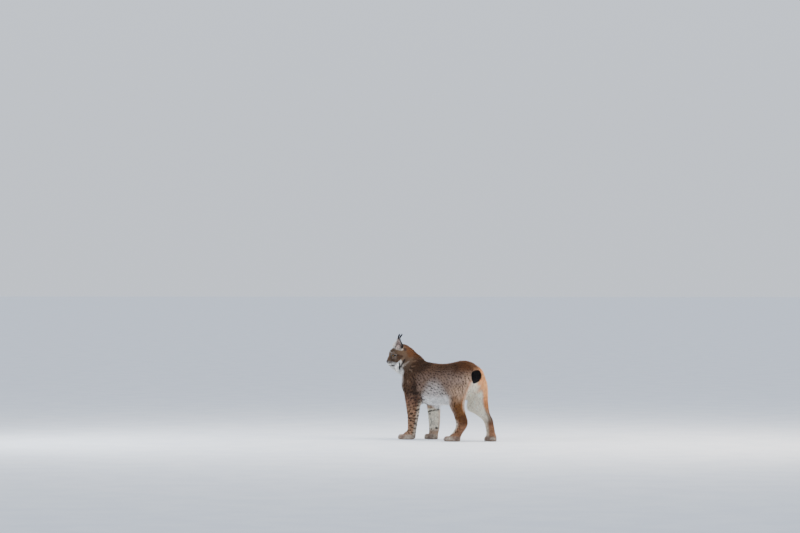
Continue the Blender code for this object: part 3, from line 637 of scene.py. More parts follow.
def skin_fields(frame, mesh):
    """Each vertex's node, and the coat's depth, tuft length, width, lift and overlap there."""
    places = places_of(mesh)
    labels = node_labels(frame, FLESH, places)
    rows = np.array([coat_of(name) for name in FLESH])
    depth, hair, width, lift, overlap = spread(rows[labels], edges_of(mesh), 60).T
    local = head_local(places)
    nose = lengths(local - (0.106, 0.0, -0.022))
    face = step(-0.075, -0.03, local[:, 0]) * step(0.17, 0.13, lengths(local))
    face *= step(-0.125, -0.085, local[:, 2])
    short = face * step(0.125, 0.03, nose)
    depth, hair, width = (
        values * (1 - short) + least * short for values, least in zip((depth, hair, width), NOSE_COAT)
    )
    throat = step(-0.05, -0.10, local[:, 2]) * step(-0.10, -0.02, local[:, 0]) * step(0.22, 0.16, nose)
    hair += 0.010 * throat
    mouths = ear_mouths(places)
    hair += 0.017 * mouths
    lift += 16 * mouths
    x, _, z = places.T
    belly = step(0.42, 0.35, z) * step(-0.16, -0.08, x) * step(0.28, 0.18, x)
    hair += 0.006 * belly * step(0.20, 0.30, z)
    return labels, depth, hair, width, lift, overlap


def open_eyes(places):
    """Presses the skin in behind each eye's opening, and lets it stand over the ball as lids."""
    wide, high = OPENING
    for eye in eyes():
        offset, a, b, ahead = from_eye(eye, places)
        distance = lengths(offset)
        arch = high * np.sqrt(np.clip(1 - (a / (wide * 1.25)) ** 2, 0.05, 1))
        inside = (a / wide) ** 2 + (b / arch) ** 2
        lids = step(2.9, 1.6, np.sqrt(inside))
        over = np.maximum(distance, EYE_RADIUS + LID_PROUD)
        radius = distance * (1 - lids) + over * lids
        radius = np.where(inside < 0.70, EYE_RADIUS - SKIN_BEHIND, radius)
        near = (distance < EYE_RADIUS * 1.9) & (ahead > 0)
        ratio = np.where(near, radius / np.maximum(distance, 1e-6), 1.0)
        places = np.array(eye.centre) + offset * ratio[:, None]
    return places


def clear_nose(places):
    """Draws the skin back from behind the nostrils, within the outline of the nose leather."""
    local = head_local(places)
    far = lengths((local - (0.106, 0.0, -0.0165)) / (0.014, 0.0105, 0.0070))
    back = np.array(head_direction(-1.0, 0.0, 0.0))
    return places + back * (0.0050 * step(1.15, 0.6, far))[:, None]


def paws():
    """Each paw's front edge, the middle of its width, and half its width. The paws face along -X."""
    found = []
    for name in FLESH:
        if "paw" in name:
            lo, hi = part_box(name)
            found.append((lo[0], (lo[1] + hi[1]) / 2, (hi[1] - lo[1]) / 2))
    return found


def toe_gaps(places):
    """1 in the furrows between the four toes of each paw, and 0 away from them."""
    x, y, z = places.T
    gaps = np.zeros(len(places))
    for front, middle, half in paws():
        back = x - front
        near = (back > -0.02) & (back < 0.075) & (np.abs(y - middle) < half * 1.15)
        reach = step(0.046, 0.024, back) * step(0.048, 0.032, z) * near
        for place in (-0.47, 0.02, 0.50):
            line = middle + half * place * (1 - 1.2 * back)
            gaps = np.maximum(gaps, step(0.0052, 0.0, np.abs(y - line)) * reach)
    return gaps


def split_toes(mesh):
    """Presses the furrows between the toes into the skin, and rounds each toe between them."""
    places = places_of(mesh)
    gaps = toe_gaps(places)
    deep = np.minimum(TOE_FURROW * gaps, np.maximum(places[:, 2] - 0.0006, 0.0) + 0.004)
    pressed = places - normals_of(mesh) * deep[:, None]
    pressed[:, 2] = np.maximum(pressed[:, 2], SKIN_LOWEST)
    move_to(mesh, pressed)


def ear_mouths(places):
    """1 on the skin at the foot of each ear's opening, and 0 away from it."""
    return bump_at(head_local(places), (0.006, 0.050, 0.066), (0.018, 0.018, 0.018))


def lie_of(places, normals, labels):
    """The way that the hair points: from the nose over the head, along the trunk, down the legs."""
    def on(part):
        return np.isin(labels, [i for i, name in enumerate(FLESH) if part in name]) * 1.0

    x, _, z = places.T
    local = head_local(places)
    far = lengths(local)
    lie = layered((1.0, -0.05, -0.34), (
        ((0.10, 0.0, -1.0), step(0.46, 0.32, z) * (on("leg") + on("paw"))),
        ((0.18, 0.0, -1.0), step(0.02, 0.30, x) * step(0.66, 0.42, z)),                    # haunch
        ((0.22, 0.0, -1.0), step(-0.14, -0.26, x) * step(0.62, 0.48, z)),                  # shoulder
        ((-1.0, 0.0, -0.45), on("paw") * step(0.085, 0.05, z)),                            # toes
        ((0.15, -0.1, -1.0), on("tail")),
        ((0.62, 0.05, -0.78), step(-0.20, -0.10, local[:, 0]) * step(0.34, 0.20, far)),    # neck
    ))
    away = local - (0.112, 0.0, -0.010)
    away[:, 0] -= 0.03
    away[:, 2] *= np.where(away[:, 2] < 0, 0.9, 1.0)
    face = unit(away @ np.array(HEAD.to_3x3()).T)
    lie = mixed(unit(lie), face, step(-0.13, -0.06, local[:, 0]) * step(0.20, 0.15, far))
    rise_left = np.array(head_direction(-0.25, 0.25, 1.0))
    rise_right = np.array(head_direction(-0.4, -0.25, 1.0))
    lie = mixed(lie, np.where(local[:, 1:2] > 0, rise_left, rise_right), ear_mouths(places))
    return along_surface(lie, normals)


def make_skin(frame, finishes):
    """The skin under the coat, with all that the tufts read stored at its points."""
    mesh = fused_flesh(frame)
    move_to(mesh, spread(places_of(mesh), edges_of(mesh), 6))
    refine(mesh, head_point(0.030, 0.0, -0.005), FACE_REACH)
    for eye in eyes():
        refine(mesh, eye.centre + eye.look * EYE_RADIUS, EYE_REACH)
    for front, middle, _ in paws():
        toes = Vector((front + 0.020, middle, 0.022))
        for reach in TOE_REACHES:
            refine(mesh, toes, reach)
    labels, depth, hair, width, lift, overlap = skin_fields(frame, mesh)
    sunk = places_of(mesh) - normals_of(mesh) * depth[:, None]
    sunk[:, 2] = np.maximum(sunk[:, 2], SKIN_LOWEST)
    move_to(mesh, spread(sunk, edges_of(mesh), 3, 0.3))
    split_toes(mesh)
    move_to(mesh, open_eyes(places_of(mesh)))
    move_to(mesh, clear_nose(places_of(mesh)))
    places = places_of(mesh)
    lips = lip_points(surface_of(mesh))
    lie = unit(spread(lie_of(places, normals_of(mesh), labels), edges_of(mesh), 30))
    store(mesh, "lie", "FLOAT_VECTOR", lie)
    store(mesh, "hair", "FLOAT", hair)
    store(mesh, "width", "FLOAT", width)
    store(mesh, "lift", "FLOAT", np.radians(lift))
    store(mesh, "cover", "FLOAT", 2 * overlap / (hair * width) * bare_places(places, lips))
    store(mesh, "region", "INT", regions_of(places, labels))
    skin = smooth_piece("skin", mesh, finishes["skin"])
    unwrap(skin)
    return skin, labels, lips


def surface_of(mesh):
    return BVHTree.FromPolygons([v.co for v in mesh.vertices], [p.vertices for p in mesh.polygons])


def bare_places(places, lips):
    """0 where no tuft grows: in the eyes' openings, on the lips and nose, and under the soles."""
    wide, high = OPENING
    bare = np.ones(len(places))
    for eye in eyes():
        offset, a, b, ahead = from_eye(eye, places)
        far = np.sqrt((a / (wide + LID_MARGIN)) ** 2 + (b / (high + LID_MARGIN)) ** 2)
        near = (ahead > 0) & (lengths(offset) < 0.03)
        bare = np.where(near, step(0.95, 1.25, far), bare)
    nose = lengths((head_local(places) - (0.104, 0.0, -0.013)) / (0.013, 0.015, 0.012))
    bare *= 1 - near_line(places, lips, 0.0040, 0.0022)
    return bare * step(0.82, 1.02, nose) * step(0.001, 0.004, places[:, 2])


def unwrap(piece):
    """A map of the piece's own shape, on which each tuft finds the place of its root."""
    bpy.context.view_layer.objects.active = piece
    piece.select_set(True)
    piece.data.uv_layers.new(name="OFBake")
    bpy.ops.object.mode_set(mode="EDIT")
    bpy.ops.mesh.select_all(action="SELECT")
    bpy.ops.uv.smart_project(angle_limit=radians(66), island_margin=0.002)
    bpy.ops.object.mode_set(mode="OBJECT")
    piece.select_set(False)


# Coat

def regions_of(places, labels):
    """The coat's piece that each place belongs to, as an index of REGIONS."""
    names = np.array(FLESH)[labels]
    forward, aside, _ = head_local(places).T
    left = places[:, 1] < spine_side(places[:, 0])
    hind = places[:, 0] > 0.06
    neck, head = names == "neck", names == "head"
    parts = {
        "fore_trunk_left": left, "fore_trunk_right": ~left,
        "hind_trunk_left": hind & left, "hind_trunk_right": hind & ~left,
        "neck_left": neck & (aside > 0), "neck_right": neck & (aside <= 0),
        "crown": head, "face": head & (forward > 0.028),
        "tail": names == "tail", "tail_tip": names == "tail_tip",
    }
    for end in ("fore", "hind"):
        for side in ("left", "right"):
            parts[f"{end}leg_{side}"] = np.isin(names, (f"{end}leg_{side}", f"{end}paw_{side}"))
    found = np.zeros(len(places), int)
    for region, here in parts.items():
        found[here] = REGIONS.index(region)
    return found


def make_tuft(name, stations, bend):
    """A thin wedge of hair, one unit long and wide. stations are (along, share of width)."""
    section = ((0.55, 0.0), (-0.25, 0.5), (-0.25, -0.5))
    bm = bmesh.new()
    rings = []
    for along, share in stations:
        rise = bend * sin(pi * along)
        rings.append([bm.verts.new((x * share + rise, y * share, along)) for x, y in section])
    tip = bm.verts.new((0.0, 0.0, 1.0))
    join_rings(bm, rings)
    for k in range(3):
        bm.faces.new((rings[-1][k], rings[-1][(k + 1) % 3], tip))
    bm.faces.new(rings[0][::-1])
    mesh = closed_mesh(name, bm)
    x, y, along = places_of(mesh).T
    store(mesh, "along", "FLOAT", along)
    store(mesh, "patch", "FLOAT_VECTOR", np.stack((y, along - 0.5, along * 0), axis=1))
    return new_piece(name, mesh)


def coat_tree():
    """Tufts over a skin: each leans along the lie, and carries its root and a patch of the map there."""
    tree = bpy.data.node_groups.new("tufts_over_skin", "GeometryNodeTree")
    sockets = (
        ("Skin", "NodeSocketGeometry"), ("Tuft", "NodeSocketObject"), ("Share", "NodeSocketFloat"),
        ("Region", "NodeSocketInt"), ("Seed", "NodeSocketInt"), ("Thickness", "NodeSocketFloat"),
        ("Stray", "NodeSocketFloat"), ("Patch", "NodeSocketFloat"), ("Finish", "NodeSocketMaterial"),
    )
    for name, kind in sockets:
        tree.interface.new_socket(name=name, in_out="INPUT", socket_type=kind)
    tree.interface.new_socket(name="Coat", in_out="OUTPUT", socket_type="NodeSocketGeometry")
    graph = Graph(tree)
    given = tree.nodes.new("NodeGroupInput")

    def of(name):
        return Socket(graph, given.outputs[name])

    def read(name, kind="FLOAT"):
        return graph.node("GeometryNodeInputNamedAttribute", {"Name": name}, data_type=kind)

    def keep(geometry, name, value, kind, domain="POINT"):
        held = {"Geometry": geometry, "Name": name, "Value": value}
        return graph.node("GeometryNodeStoreNamedAttribute", held, data_type=kind, domain=domain)

    def random(low, high, offset):
        limits = {2: low, 3: high, "Seed": of("Seed") + offset}
        return graph.node("FunctionNodeRandomValue", limits, output=1, data_type="FLOAT")

    here = graph.node("FunctionNodeCompare", {2: read("region", "INT"), 3: of("Region")},
                      data_type="INT", operation="EQUAL")
    points = graph.node("GeometryNodeDistributePointsOnFaces", {
        "Mesh": of("Skin"), "Selection": here, "Density": read("cover") * of("Share"), "Seed": of("Seed"),
    })
    normal = Socket(graph, points.out.node.outputs["Normal"])
    place = graph.node("GeometryNodeInputPosition")
    sway = graph.node("ShaderNodeTexNoise", {"Vector": place, "Scale": 55.0, "Detail": 2.0}, output="Color")
    jitter = graph.node("FunctionNodeRandomValue", {
        0: (-1.0, -1.0, -1.0), 1: (1.0, 1.0, 1.0), "Seed": of("Seed") + 5,
    }, data_type="FLOAT_VECTOR")
    lift = read("lift")
    rise = graph.node("ShaderNodeMath", {0: lift}, operation="SINE")
    flat = graph.node("ShaderNodeMath", {0: lift}, operation="COSINE")
    way = read("lie", "FLOAT_VECTOR") * flat + normal * rise
    way = way + (sway - (0.5, 0.5, 0.5)) * of("Stray") + jitter * (of("Stray") * 0.16)
    rotation = graph.node("FunctionNodeAxesToRotation", {"Primary Axis": way, "Secondary Axis": normal},
                          primary_axis="Z", secondary_axis="X")
    wide = read("width") * random(0.75, 1.3, 1)
    size = graph.node("ShaderNodeCombineXYZ", {
        "X": wide * of("Thickness"), "Y": wide, "Z": read("hair") * random(0.80, 1.14, 2),
    })
    marked = keep(points, "root", place, "FLOAT_VECTOR")
    marked = keep(marked, "shade", random(0.0, 1.0, 3), "FLOAT")
    marked = keep(marked, "root_uv", read("OFBake", "FLOAT_VECTOR"), "FLOAT_VECTOR")
    tuft = graph.node("GeometryNodeObjectInfo", {"Object": of("Tuft")}, output="Geometry")
    placed = graph.node("GeometryNodeInstanceOnPoints", {
        "Points": marked, "Instance": tuft, "Rotation": rotation, "Scale": size,
    })
    real = graph.node("GeometryNodeRealizeInstances", {"Geometry": placed})
    patch = read("root_uv", "FLOAT_VECTOR") + read("patch", "FLOAT_VECTOR") * of("Patch")
    mapped = keep(real, "OFBake", patch, "FLOAT2", "CORNER")
    done = graph.node("GeometryNodeSetMaterial", {"Geometry": mapped, "Material": of("Finish")})
    out = tree.nodes.new("NodeGroupOutput")
    tree.links.new(done.out, out.inputs["Coat"])
    return tree


def grow(name, skin, tree, values):
    """A plain mesh of the tufts that grow on a skin, by the tree's named inputs."""
    piece = new_piece(name, skin.data)
    scatter = piece.modifiers.new("tufts", "NODES")
    scatter.node_group = tree
    for item in tree.interface.items_tree:
        if item.item_type == "SOCKET" and item.in_out == "INPUT" and item.name in values:
            scatter[item.identifier] = values[item.name]
    return evaluated(piece)


def root_colours(mesh, tuft, colours_at):
    """The colour at each tuft's root, for all of its points."""
    corners = len(tuft.data.vertices)
    return np.repeat(colours_at(vectors_of(mesh, "root")[::corners]), corners, axis=0)


def finish_tufts(name, mesh, colours, finish):
    """A piece of grown tufts with their colours, which keeps only what its finish reads."""
    patch = vectors_of(mesh, "patch")
    shade = rows_of(mesh.attributes["shade"].data, "value", 1)[:, 0]
    strand = np.stack((patch[:, 0] * 5.0, patch[:, 1] * 1.6, shade * 90.0), axis=1)
    needed = {"OFBake", "along", "shade", "position"}
    for extra in [a.name for a in mesh.attributes if not (a.name in needed or a.is_required)]:
        if not extra.startswith("."):
            mesh.attributes.remove(mesh.attributes[extra])
    store(mesh, "coat", "FLOAT_COLOR", colours)
    store(mesh, "strand", "FLOAT_VECTOR", strand)
    places = places_of(mesh)
    places[:, 2] = np.maximum(places[:, 2], COAT_LOWEST)
    move_to(mesh, places)
    mesh.materials.clear()
    mesh.materials.append(finish)
    mesh.name = name
    return new_piece(name, mesh)


# Markings

def scattered(candidates, spacing, seed):
    """Indices of places that keep their spacing from each other, in a seeded random order."""
    order = np.random.default_rng(seed).permutation(len(candidates))
    cell = float(spacing.min())
    taken = {}
    chosen = []
    for index in order:
        place, gap = candidates[index], spacing[index]
        home = tuple((place // cell).astype(int))
        reach = int(gap // cell) + 1
        near = product(*(range(h - reach, h + reach + 1) for h in home))
        others = (other for cell_there in near for other in taken.get(cell_there, ()))
        if all(np.dot(place - other, place - other) > gap * gap for other in others):
            taken.setdefault(home, []).append(place)
            chosen.append(index)
    return np.array(chosen)


def spine_side(x):
    """How far to the side the middle of the trunk lies at x: the animal is bent a little."""
    return 0.037 - 0.5 * x * x


def bump_at(local, centre, reach):
    """A soft patch on both sides of the head."""
    folded = np.abs(local[:, 1])
    offset = np.stack((local[:, 0] - centre[0], folded - centre[1], local[:, 2] - centre[2]), axis=1)
    return step(1.3, 0.6, lengths(offset / np.array(reach)))


def along_line(local, start, end, half):
    """A soft stripe between two places on both sides of the head, judged mostly from its side."""
    scale = np.array((1.0, 0.45, 1.0))
    points = np.stack((local[:, 0], np.abs(local[:, 1]), local[:, 2]), axis=1) * scale
    start, end = np.array(start) * scale, np.array(end) * scale
    way = end - start
    t = np.clip((points - start) @ way / (way @ way), 0.0, 1.0)
    return step(half * 1.6, half * 0.6, lengths(points - (start + t[:, None] * way)))


def side_stripe(local, start, end, half):
    """A soft stripe over the head's sides between two places (forward, up), judged from its side."""
    return along_line(local * (1.0, 0.0, 1.0), (start[0], 0.0, start[1]), (end[0], 0.0, end[1]), half)


def near_line(places, line, outer, inner):
    """1 on a line of points and 0 beyond outer from it."""
    tree = search_tree(line)
    return step(outer, inner, np.array([tree.find(Vector(p))[2] for p in places]))


def facing_inwards(side, n):
    """How far the coat faces the animal's middle, where side is the distance from it."""
    return np.where(side < 0, n[:, 1], -n[:, 1])


def trunk_ground(places, n, broad):
    """Back, flanks, belly, shoulders and neck, without their spots."""
    x, y, z = places.T
    side = y - spine_side(x)
    along, low = x + 0.02 * broad, z + 0.012 * broad
    pale_top = 0.505 - 6.0 * (x + 0.03) ** 2
    rust = mixed(NAPE, WITHERS, step(0.05, 0.5, wave(places, 0.022, 8)) * 0.45)
    chest = step(-0.36, -0.66, n[:, 0]) * step(-0.24, -0.30, x) * step(0.66, 0.60, z)
    streaks = step(0.10, 0.50, wave(places * (1.0, 1.0, 0.5), 0.011, 6))
    streaks = streaks * step(-0.20, -0.28, x) * step(0.46, 0.54, z)
    return layered(FLANK_FORE, (
        (FLANK_HIND, step(-0.02, 0.20, along)),
        (LOW_FLANK, step(0.06, -0.08, low - pale_top) * step(-0.205, -0.155, x) * step(0.22, 0.12, x) * 0.9),
        (HAUNCH, step(0.14, 0.24, along) * step(0.52, 0.44, z)),
        (BACK, step(0.515, 0.645, low)),
        (RUMP, step(0.10, 0.28, x) * step(0.545, 0.655, low)),
        (HAUNCH, step(0.26, 0.36, x) * step(0.625, 0.565, low) * 0.75),
        (BELLY, step(0.415, 0.345, low) * step(-0.195, -0.14, x) * step(0.21, 0.15, x)),
        (SHOULDER, step(-0.190, -0.230, along) * step(0.36, 0.42, z)),
        (rust, step(-0.19, -0.27, x + 0.4 * (z - 0.68)) * step(0.615, 0.69, low)),
        (WITHERS, step(0.14, 0.06, np.hypot(x + 0.215, 1.6 * (z - 0.645))) * 0.85),
        (BACK, step(-0.16, -0.20, x) * step(0.010, 0.002, np.abs(side)) * step(0.66, 0.70, z) * 0.8),
        (CHEST_EDGE, chest * step(-0.2, 0.4, wave(places, 0.016, 5) + 0.1) * 0.8),
        (HAUNCH, streaks * step(0.74, 0.67, z) * 0.42),
    ))


def leg_ground(ground, places, n, broad):
    """Legs, paws and buttocks laid over the trunk's colours, with painted sunlight on the right buttock, and
    painted shade behind the left shoulder and between the toes. n[:, 0] is high where it faces back.
    """
    x, y, z = places.T
    side = y - spine_side(x)
    left, right = step(-0.012, -0.035, side), step(0.012, 0.035, side)
    inward = facing_inwards(side, n)
    inner = step(0.05, 0.55, inward + 0.12 * broad)
    elbow = 0.040 * step(0.30, 0.36, z)
    fore = step(-0.125, -0.165, x + elbow - 0.06 * step(0.29, 0.26, z)) * step(0.43, 0.35, z)
    buff = np.maximum(step(0.268, 0.282, z + 0.004 * broad), step(0.115, 0.065, z)) * step(0.02, 0.05, side)
    foreleg = layered(FORELEG, (
        (FORELEG_TOP, step(0.24, 0.34, z)),
        (LEG_INNER, np.maximum(inner * 0.95, step(0.55, 0.9, n[:, 0]) * 0.5)),
        (FORELEG, buff * 0.8),
        (CHEST_EDGE, step(-0.50, -0.85, n[:, 0]) * step(-0.3, 0.3, wave(places, 0.016, 5)) * 0.5),
    ))
    hind = step(0.11, 0.17, x) * step(0.44, 0.31, z + 0.02 * broad)
    hindleg = layered(THIGH, (
        (THIGH_FRONT, step(-0.10, -0.50, n[:, 0]) * step(0.20, 0.26, z)),
        (SHIN, step(0.19, 0.14, z)),
        (LEG_INNER, step(0.21, 0.16, z) * step(0.05, 0.07, z) * step(-0.15, -0.55, n[:, 0]) * 0.7),
        (HOCK, step(0.060, 0.020, np.abs(z - 0.190)) * step(-0.3, 0.4, n[:, 0]) * 0.8),
    ))
    # Painted shade with dark hair in the fold behind the left shoulder, where the foreleg meets the trunk
    fold_shade_and_dark_hair = step(0.034, 0.006, np.abs(x + 0.224 + 0.10 * (z - 0.45) + 0.01 * broad))
    under = step(-0.30, -0.70, n[:, 2]) * step(0.27, 0.30, z) * step(0.42, 0.37, z) * step(0.20, 0.10, x)
    high = step(0.15, 0.23, z)
    shank = (1 - high) * step(0.35, 0.75, inward) * step(0.3, -0.3, n[:, 0]) * 0.6
    inside = inner * step(0.15, 0.20, x) * step(0.57, 0.50, z) * (high + shank)
    back = step(0.22, 0.30, x)
    # The right buttock counts as facing back over a wider turn than the left, so the painted sunlight
    # spreads further there
    rear = step(0.0, 0.34, n[:, 0] + 0.06 * broad - np.where(side < 0.0, 0.50, 0.12))
    buttock = rear * back * step(0.66, 0.58, z) * step(0.23, 0.31, z)
    groin = step(-0.2, -0.6, n[:, 2]) * step(0.085, 0.05, np.abs(side)) * step(0.24, 0.28, z)
    below_tail = back * step(0.045, 0.015, np.abs(side)) * step(0.58, 0.54, z)
    return layered(ground, (
        (foreleg, fore),
        # Painted shade and dark hair in that fold, on the left side only
        (STREAK, fold_shade_and_dark_hair * step(0.29, 0.38, z) * step(0.60, 0.47, z) * (side < -0.03) * 0.62),
        (BELLY, under * 0.85),
        (hindleg, hind),
        (LEG_INNER, inside * (1 - 0.7 * rear)),
        # Painted warm sunlight on the right buttock, brightest high up, with brown lower on that side; the
        # left buttock has the orange at a lower share
        (BUTTOCK_ORANGE_AND_SUNLIGHT, buttock * right * 0.95),
        (BUTTOCK_PAINTED_SUNLIGHT, buttock * step(0.35, 0.44, z) * right * 0.8),
        (THIGH, buttock * step(0.36, 0.26, z) * (side > 0) * 0.6),
        (BUTTOCK_ORANGE_AND_SUNLIGHT, buttock * left * 0.55),
        (LEG_INNER, buttock * left * step(0.75, 0.95, n[:, 0]) * 0.5),
        (LEG_INNER, groin * step(0.10, 0.15, x) * 0.9),
        (LEG_INNER, below_tail * 0.9),
        (TOES, step(0.060, 0.030, z) * 0.8),
        (LEG_INNER, step(0.056, 0.036, z) * step(-0.3, 0.5, wave(places, 0.034, 9)) * 0.26),
        # Painted shade in the furrows between the toes
        (HOCK, toe_gaps(places) * 0.8),
    ))


def face_ground(local, broad):
    """The whole face, with its stripes, whisker pads and rings round the eyes."""
    local = local + 0.0020 * np.stack([wave(local, 0.009, 7 + k) for k in range(3)], axis=1)
    f, s, u = local.T
    s = np.abs(s)
    lower = step(-0.024, -0.042, u + 0.45 * (0.062 - f)) * step(0.034, 0.052, f)
    pads = bump_at(local, (0.084, 0.026, -0.027), (0.018, 0.014, 0.012))
    pad_rows = np.sin((u + 0.22 * f) * 1100) * 0.5 + 0.5
    crown = step(0.024, 0.045, u) * step(0.044, 0.032, s) * step(0.085, 0.06, f)
    crown_rows = np.sin(s * 640 + broad * 1.2) * 0.5 + 0.5
    rings = np.full(len(local), 9.0)
    places = (local @ np.array(HEAD.to_3x3()).T) + np.array(HEAD.translation)
    for eye in eyes():
        offset, a, b, _ = from_eye(eye, places)
        far = np.hypot(a / OPENING[0], b / OPENING[1])
        rings = np.where(lengths(offset) < 0.034, np.minimum(rings, far), rings)
    return layered(FACE, (
        (NAPE, step(-0.020, -0.055, f) * step(-0.045, -0.02, u) * 0.8),
        (BRIDGE, step(0.022, 0.008, s) * step(0.055, 0.085, f) * step(-0.02, 0.0, u) * 0.8),
        *((colour, along_line(local, *line) * share) for colour, *line, share in FACE_STRIPES),
        (MUZZLE, lower * 0.78),
        (MUZZLE, step(0.080, 0.092, f) * step(-0.008, -0.020, u) * 0.7),
        (PAD, bump_at(local, (0.088, 0.024, -0.023), (0.016, 0.016, 0.011)) * 0.85),
        (STREAK, bump_at(local, (0.101, 0.011, -0.010), (0.006, 0.008, 0.010)) * 0.7),
        (MUZZLE, step(-0.052, -0.062, u) * step(0.008, 0.03, f)),
        (STREAK, pads * step(0.55, 0.85, pad_rows) * 0.8),
        (STREAK, crown * step(0.45, 0.85, crown_rows) * 0.8),
        (EAR_INSIDE, bump_at(local, (0.006, 0.050, 0.068), (0.020, 0.022, 0.020)) * 0.8),
        (FACE_PALE, step(2.4, 2.0, rings) * step(1.3, 1.7, rings) * 0.28),
        (BLACK, step(1.95, 1.40, rings) * 0.95),
    ))


def foreleg_marks(places, names):
    """The dark bar high on the inner right foreleg and the round spot over its wrist."""
    x, y, z = places.T
    right = np.isin(names, ("foreleg_right", "forepaw_right")) & (y < 0.105)
    bar = step(0.0085, 0.0045, np.abs(z - 0.262 - 0.25 * (x + 0.12) + 0.002 * np.sin(x * 260)))
    spot = step(0.0105, 0.0075, np.hypot(x + 0.115, z - 0.104))
    return np.where(right, np.maximum(bar * 0.9, spot), 0.0)


class Markings:
    """The coat's colours by place: grounds for each part of the body, then spots and streaks."""

    def __init__(self, skin, labels, lips):
        self.lips = lips
        self.places = places_of(skin.data)
        self.normals = unit(spread(normals_of(skin.data), edges_of(skin.data), 10))
        self.names = np.array(FLESH)[labels]
        self.lie = vectors_of(skin.data, "lie")
        self.nearest = search_tree(self.places)
        self.place_spots()

    def place_spots(self):
        """Seeded centres that keep their distance, each with its axis, size and darkness."""
        local = head_local(self.places)
        body = (local[:, 0] < -0.07) | (lengths(local) > 0.20)
        some = np.flatnonzero(body & (self.places[:, 2] > 0.045))[::3]
        x, y, z = self.places[some].T
        n = self.normals[some]
        fore = step(-0.13, -0.19, x) * step(0.50, 0.42, z)
        hind = step(0.12, 0.18, x) * step(0.46, 0.38, z)
        inner = step(0.0, 0.5, facing_inwards(y - spine_side(x), n))
        gap = SPOT_GAP - 0.0026 * step(0.55, 0.62, z) + 0.0040 * fore + 0.009 * inner * fore
        chosen = scattered(self.places[some], gap, SEED)
        some, fore, hind, inner, z, x, n = (v[chosen] for v in (some, fore, hind, inner, z, x, n))
        rng = np.random.default_rng(SEED + 1)
        self.centres = self.places[some]
        level = unit(np.cross(self.normals[some], self.lie[some]))
        self.axes = unit(mixed(self.lie[some], level, step(0.3, 0.7, fore)))
        size = rng.uniform(0.70, 1.30, len(some)) * (1 + 0.34 * fore - 0.12 * step(0.55, 0.62, z))
        long, wide = SPOT_HALF
        self.sizes = np.stack((long * size * (1 + 0.55 * fore), wide * size), axis=1)
        dark = 1.0 - 0.15 * step(0.55, 0.62, z)
        # Paler at the backs of the hind legs and inside all legs, and none on the belly, inside the
        # thighs and on the buttocks
        dark *= 1 - hind * (1 - step(0.25, -0.15, n[:, 0])) * 0.8
        dark *= 1 - 0.25 * inner
        dark *= 1 - step(0.41, 0.375, z) * step(-0.17, -0.12, x) * step(0.20, 0.14, x)
        dark *= 1 - step(0.16, 0.24, x) * inner * step(0.56, 0.50, z)
        dark *= 1 - 0.9 * step(0.35, 0.7, n[:, 0]) * step(0.30, 0.36, x)
        self.dark = dark * rng.uniform(0.75, 1.0, len(some))
        self.tree = search_tree(self.centres)

    def spots(self, places):
        """How deep in a dark spot each place lies, from 0 to 1."""
        ragged = wave(places, 0.006, 1) * 0.32
        depth = np.zeros(len(places))
        for k, place in enumerate(places):
            for _, index, distance in self.tree.find_n(Vector(place), 3):
                if distance > SPOT_REACH:
                    break
                offset = place - self.centres[index]
                along = offset @ self.axes[index]
                across = sqrt(max(offset @ offset - along * along, 0.0))
                half_long, half_wide = self.sizes[index]
                far = sqrt((along / half_long) ** 2 + (across / half_wide) ** 2)
                deep = min(max((1.25 + ragged[k] - far) / 0.5, 0.0), 1.0) * self.dark[index]
                depth[k] = max(depth[k], deep)
        return depth

    def at(self, places):
        """Linear colours of the coat whose roots are at the places."""
        index = [self.nearest.find(Vector(place))[1] for place in places]
        names, n = self.names[index], self.normals[index]
        x, _, z = places.T
        local = head_local(places)
        f, s, u = local.T
        far = lengths(local)
        broad, fine = wave(places, 0.05, 2), wave(places, 0.011, 3)
        head = step(-0.095, -0.055, f) * step(0.150, 0.115, far)
        throat = step(-0.050, -0.075, u) * step(0.012, 0.035, f + 0.12 * (u + 0.075))
        throat *= step(0.215, 0.16, far)
        edge = side_stripe(local + 0.004 * np.stack((fine, fine * 0, broad), axis=1), *RUFF_EDGE, 0.0050)
        edge *= (np.abs(s) > 0.04) & (far < 0.17)
        spots = self.spots(places) * (1 - head) * (1 - throat) * step(0.03, 0.07, z)
        spots = np.maximum(spots, foreleg_marks(places, names))
        spots = np.maximum(spots, near_line(places, self.lips, 0.0075, 0.0040) * 0.9)
        tail = layered(TAIL, (
            (RUMP, step(0.005, 0.03, np.abs(fine) * 0.04)),
            (LEG_INNER, step(0.0, -0.5, n[:, 2]) * 0.9),
        ))
        on_tail = (names == "tail") * step(-0.25, 0.45, n[:, 0] + 0.3 * broad)
        colours = layered(leg_ground(trunk_ground(places, n, broad), places, n, broad), (
            (face_ground(local, broad), head),
            (CHEST_EDGE, edge * step(-0.050, -0.010, f) * 0.6),
            (MUZZLE, throat * 0.92),
            (SPOT, spots),
            (tail, on_tail * step(0.655, 0.600, z + 0.01 * fine)),
        ))
        colours = np.where((names == "tail_tip")[:, None], np.array(BLACK), colours)
        rough = 0.36 - 0.20 * head + 0.22 * (1 - head) * step(-0.16, -0.24, x) * step(0.42, 0.50, z)
        change = 0.10 * broad + rough * (fine + 0.6 * wave(places, 0.021, 4))
        return np.clip(colours * (1 + change[:, None]), 0.0, 1.0)


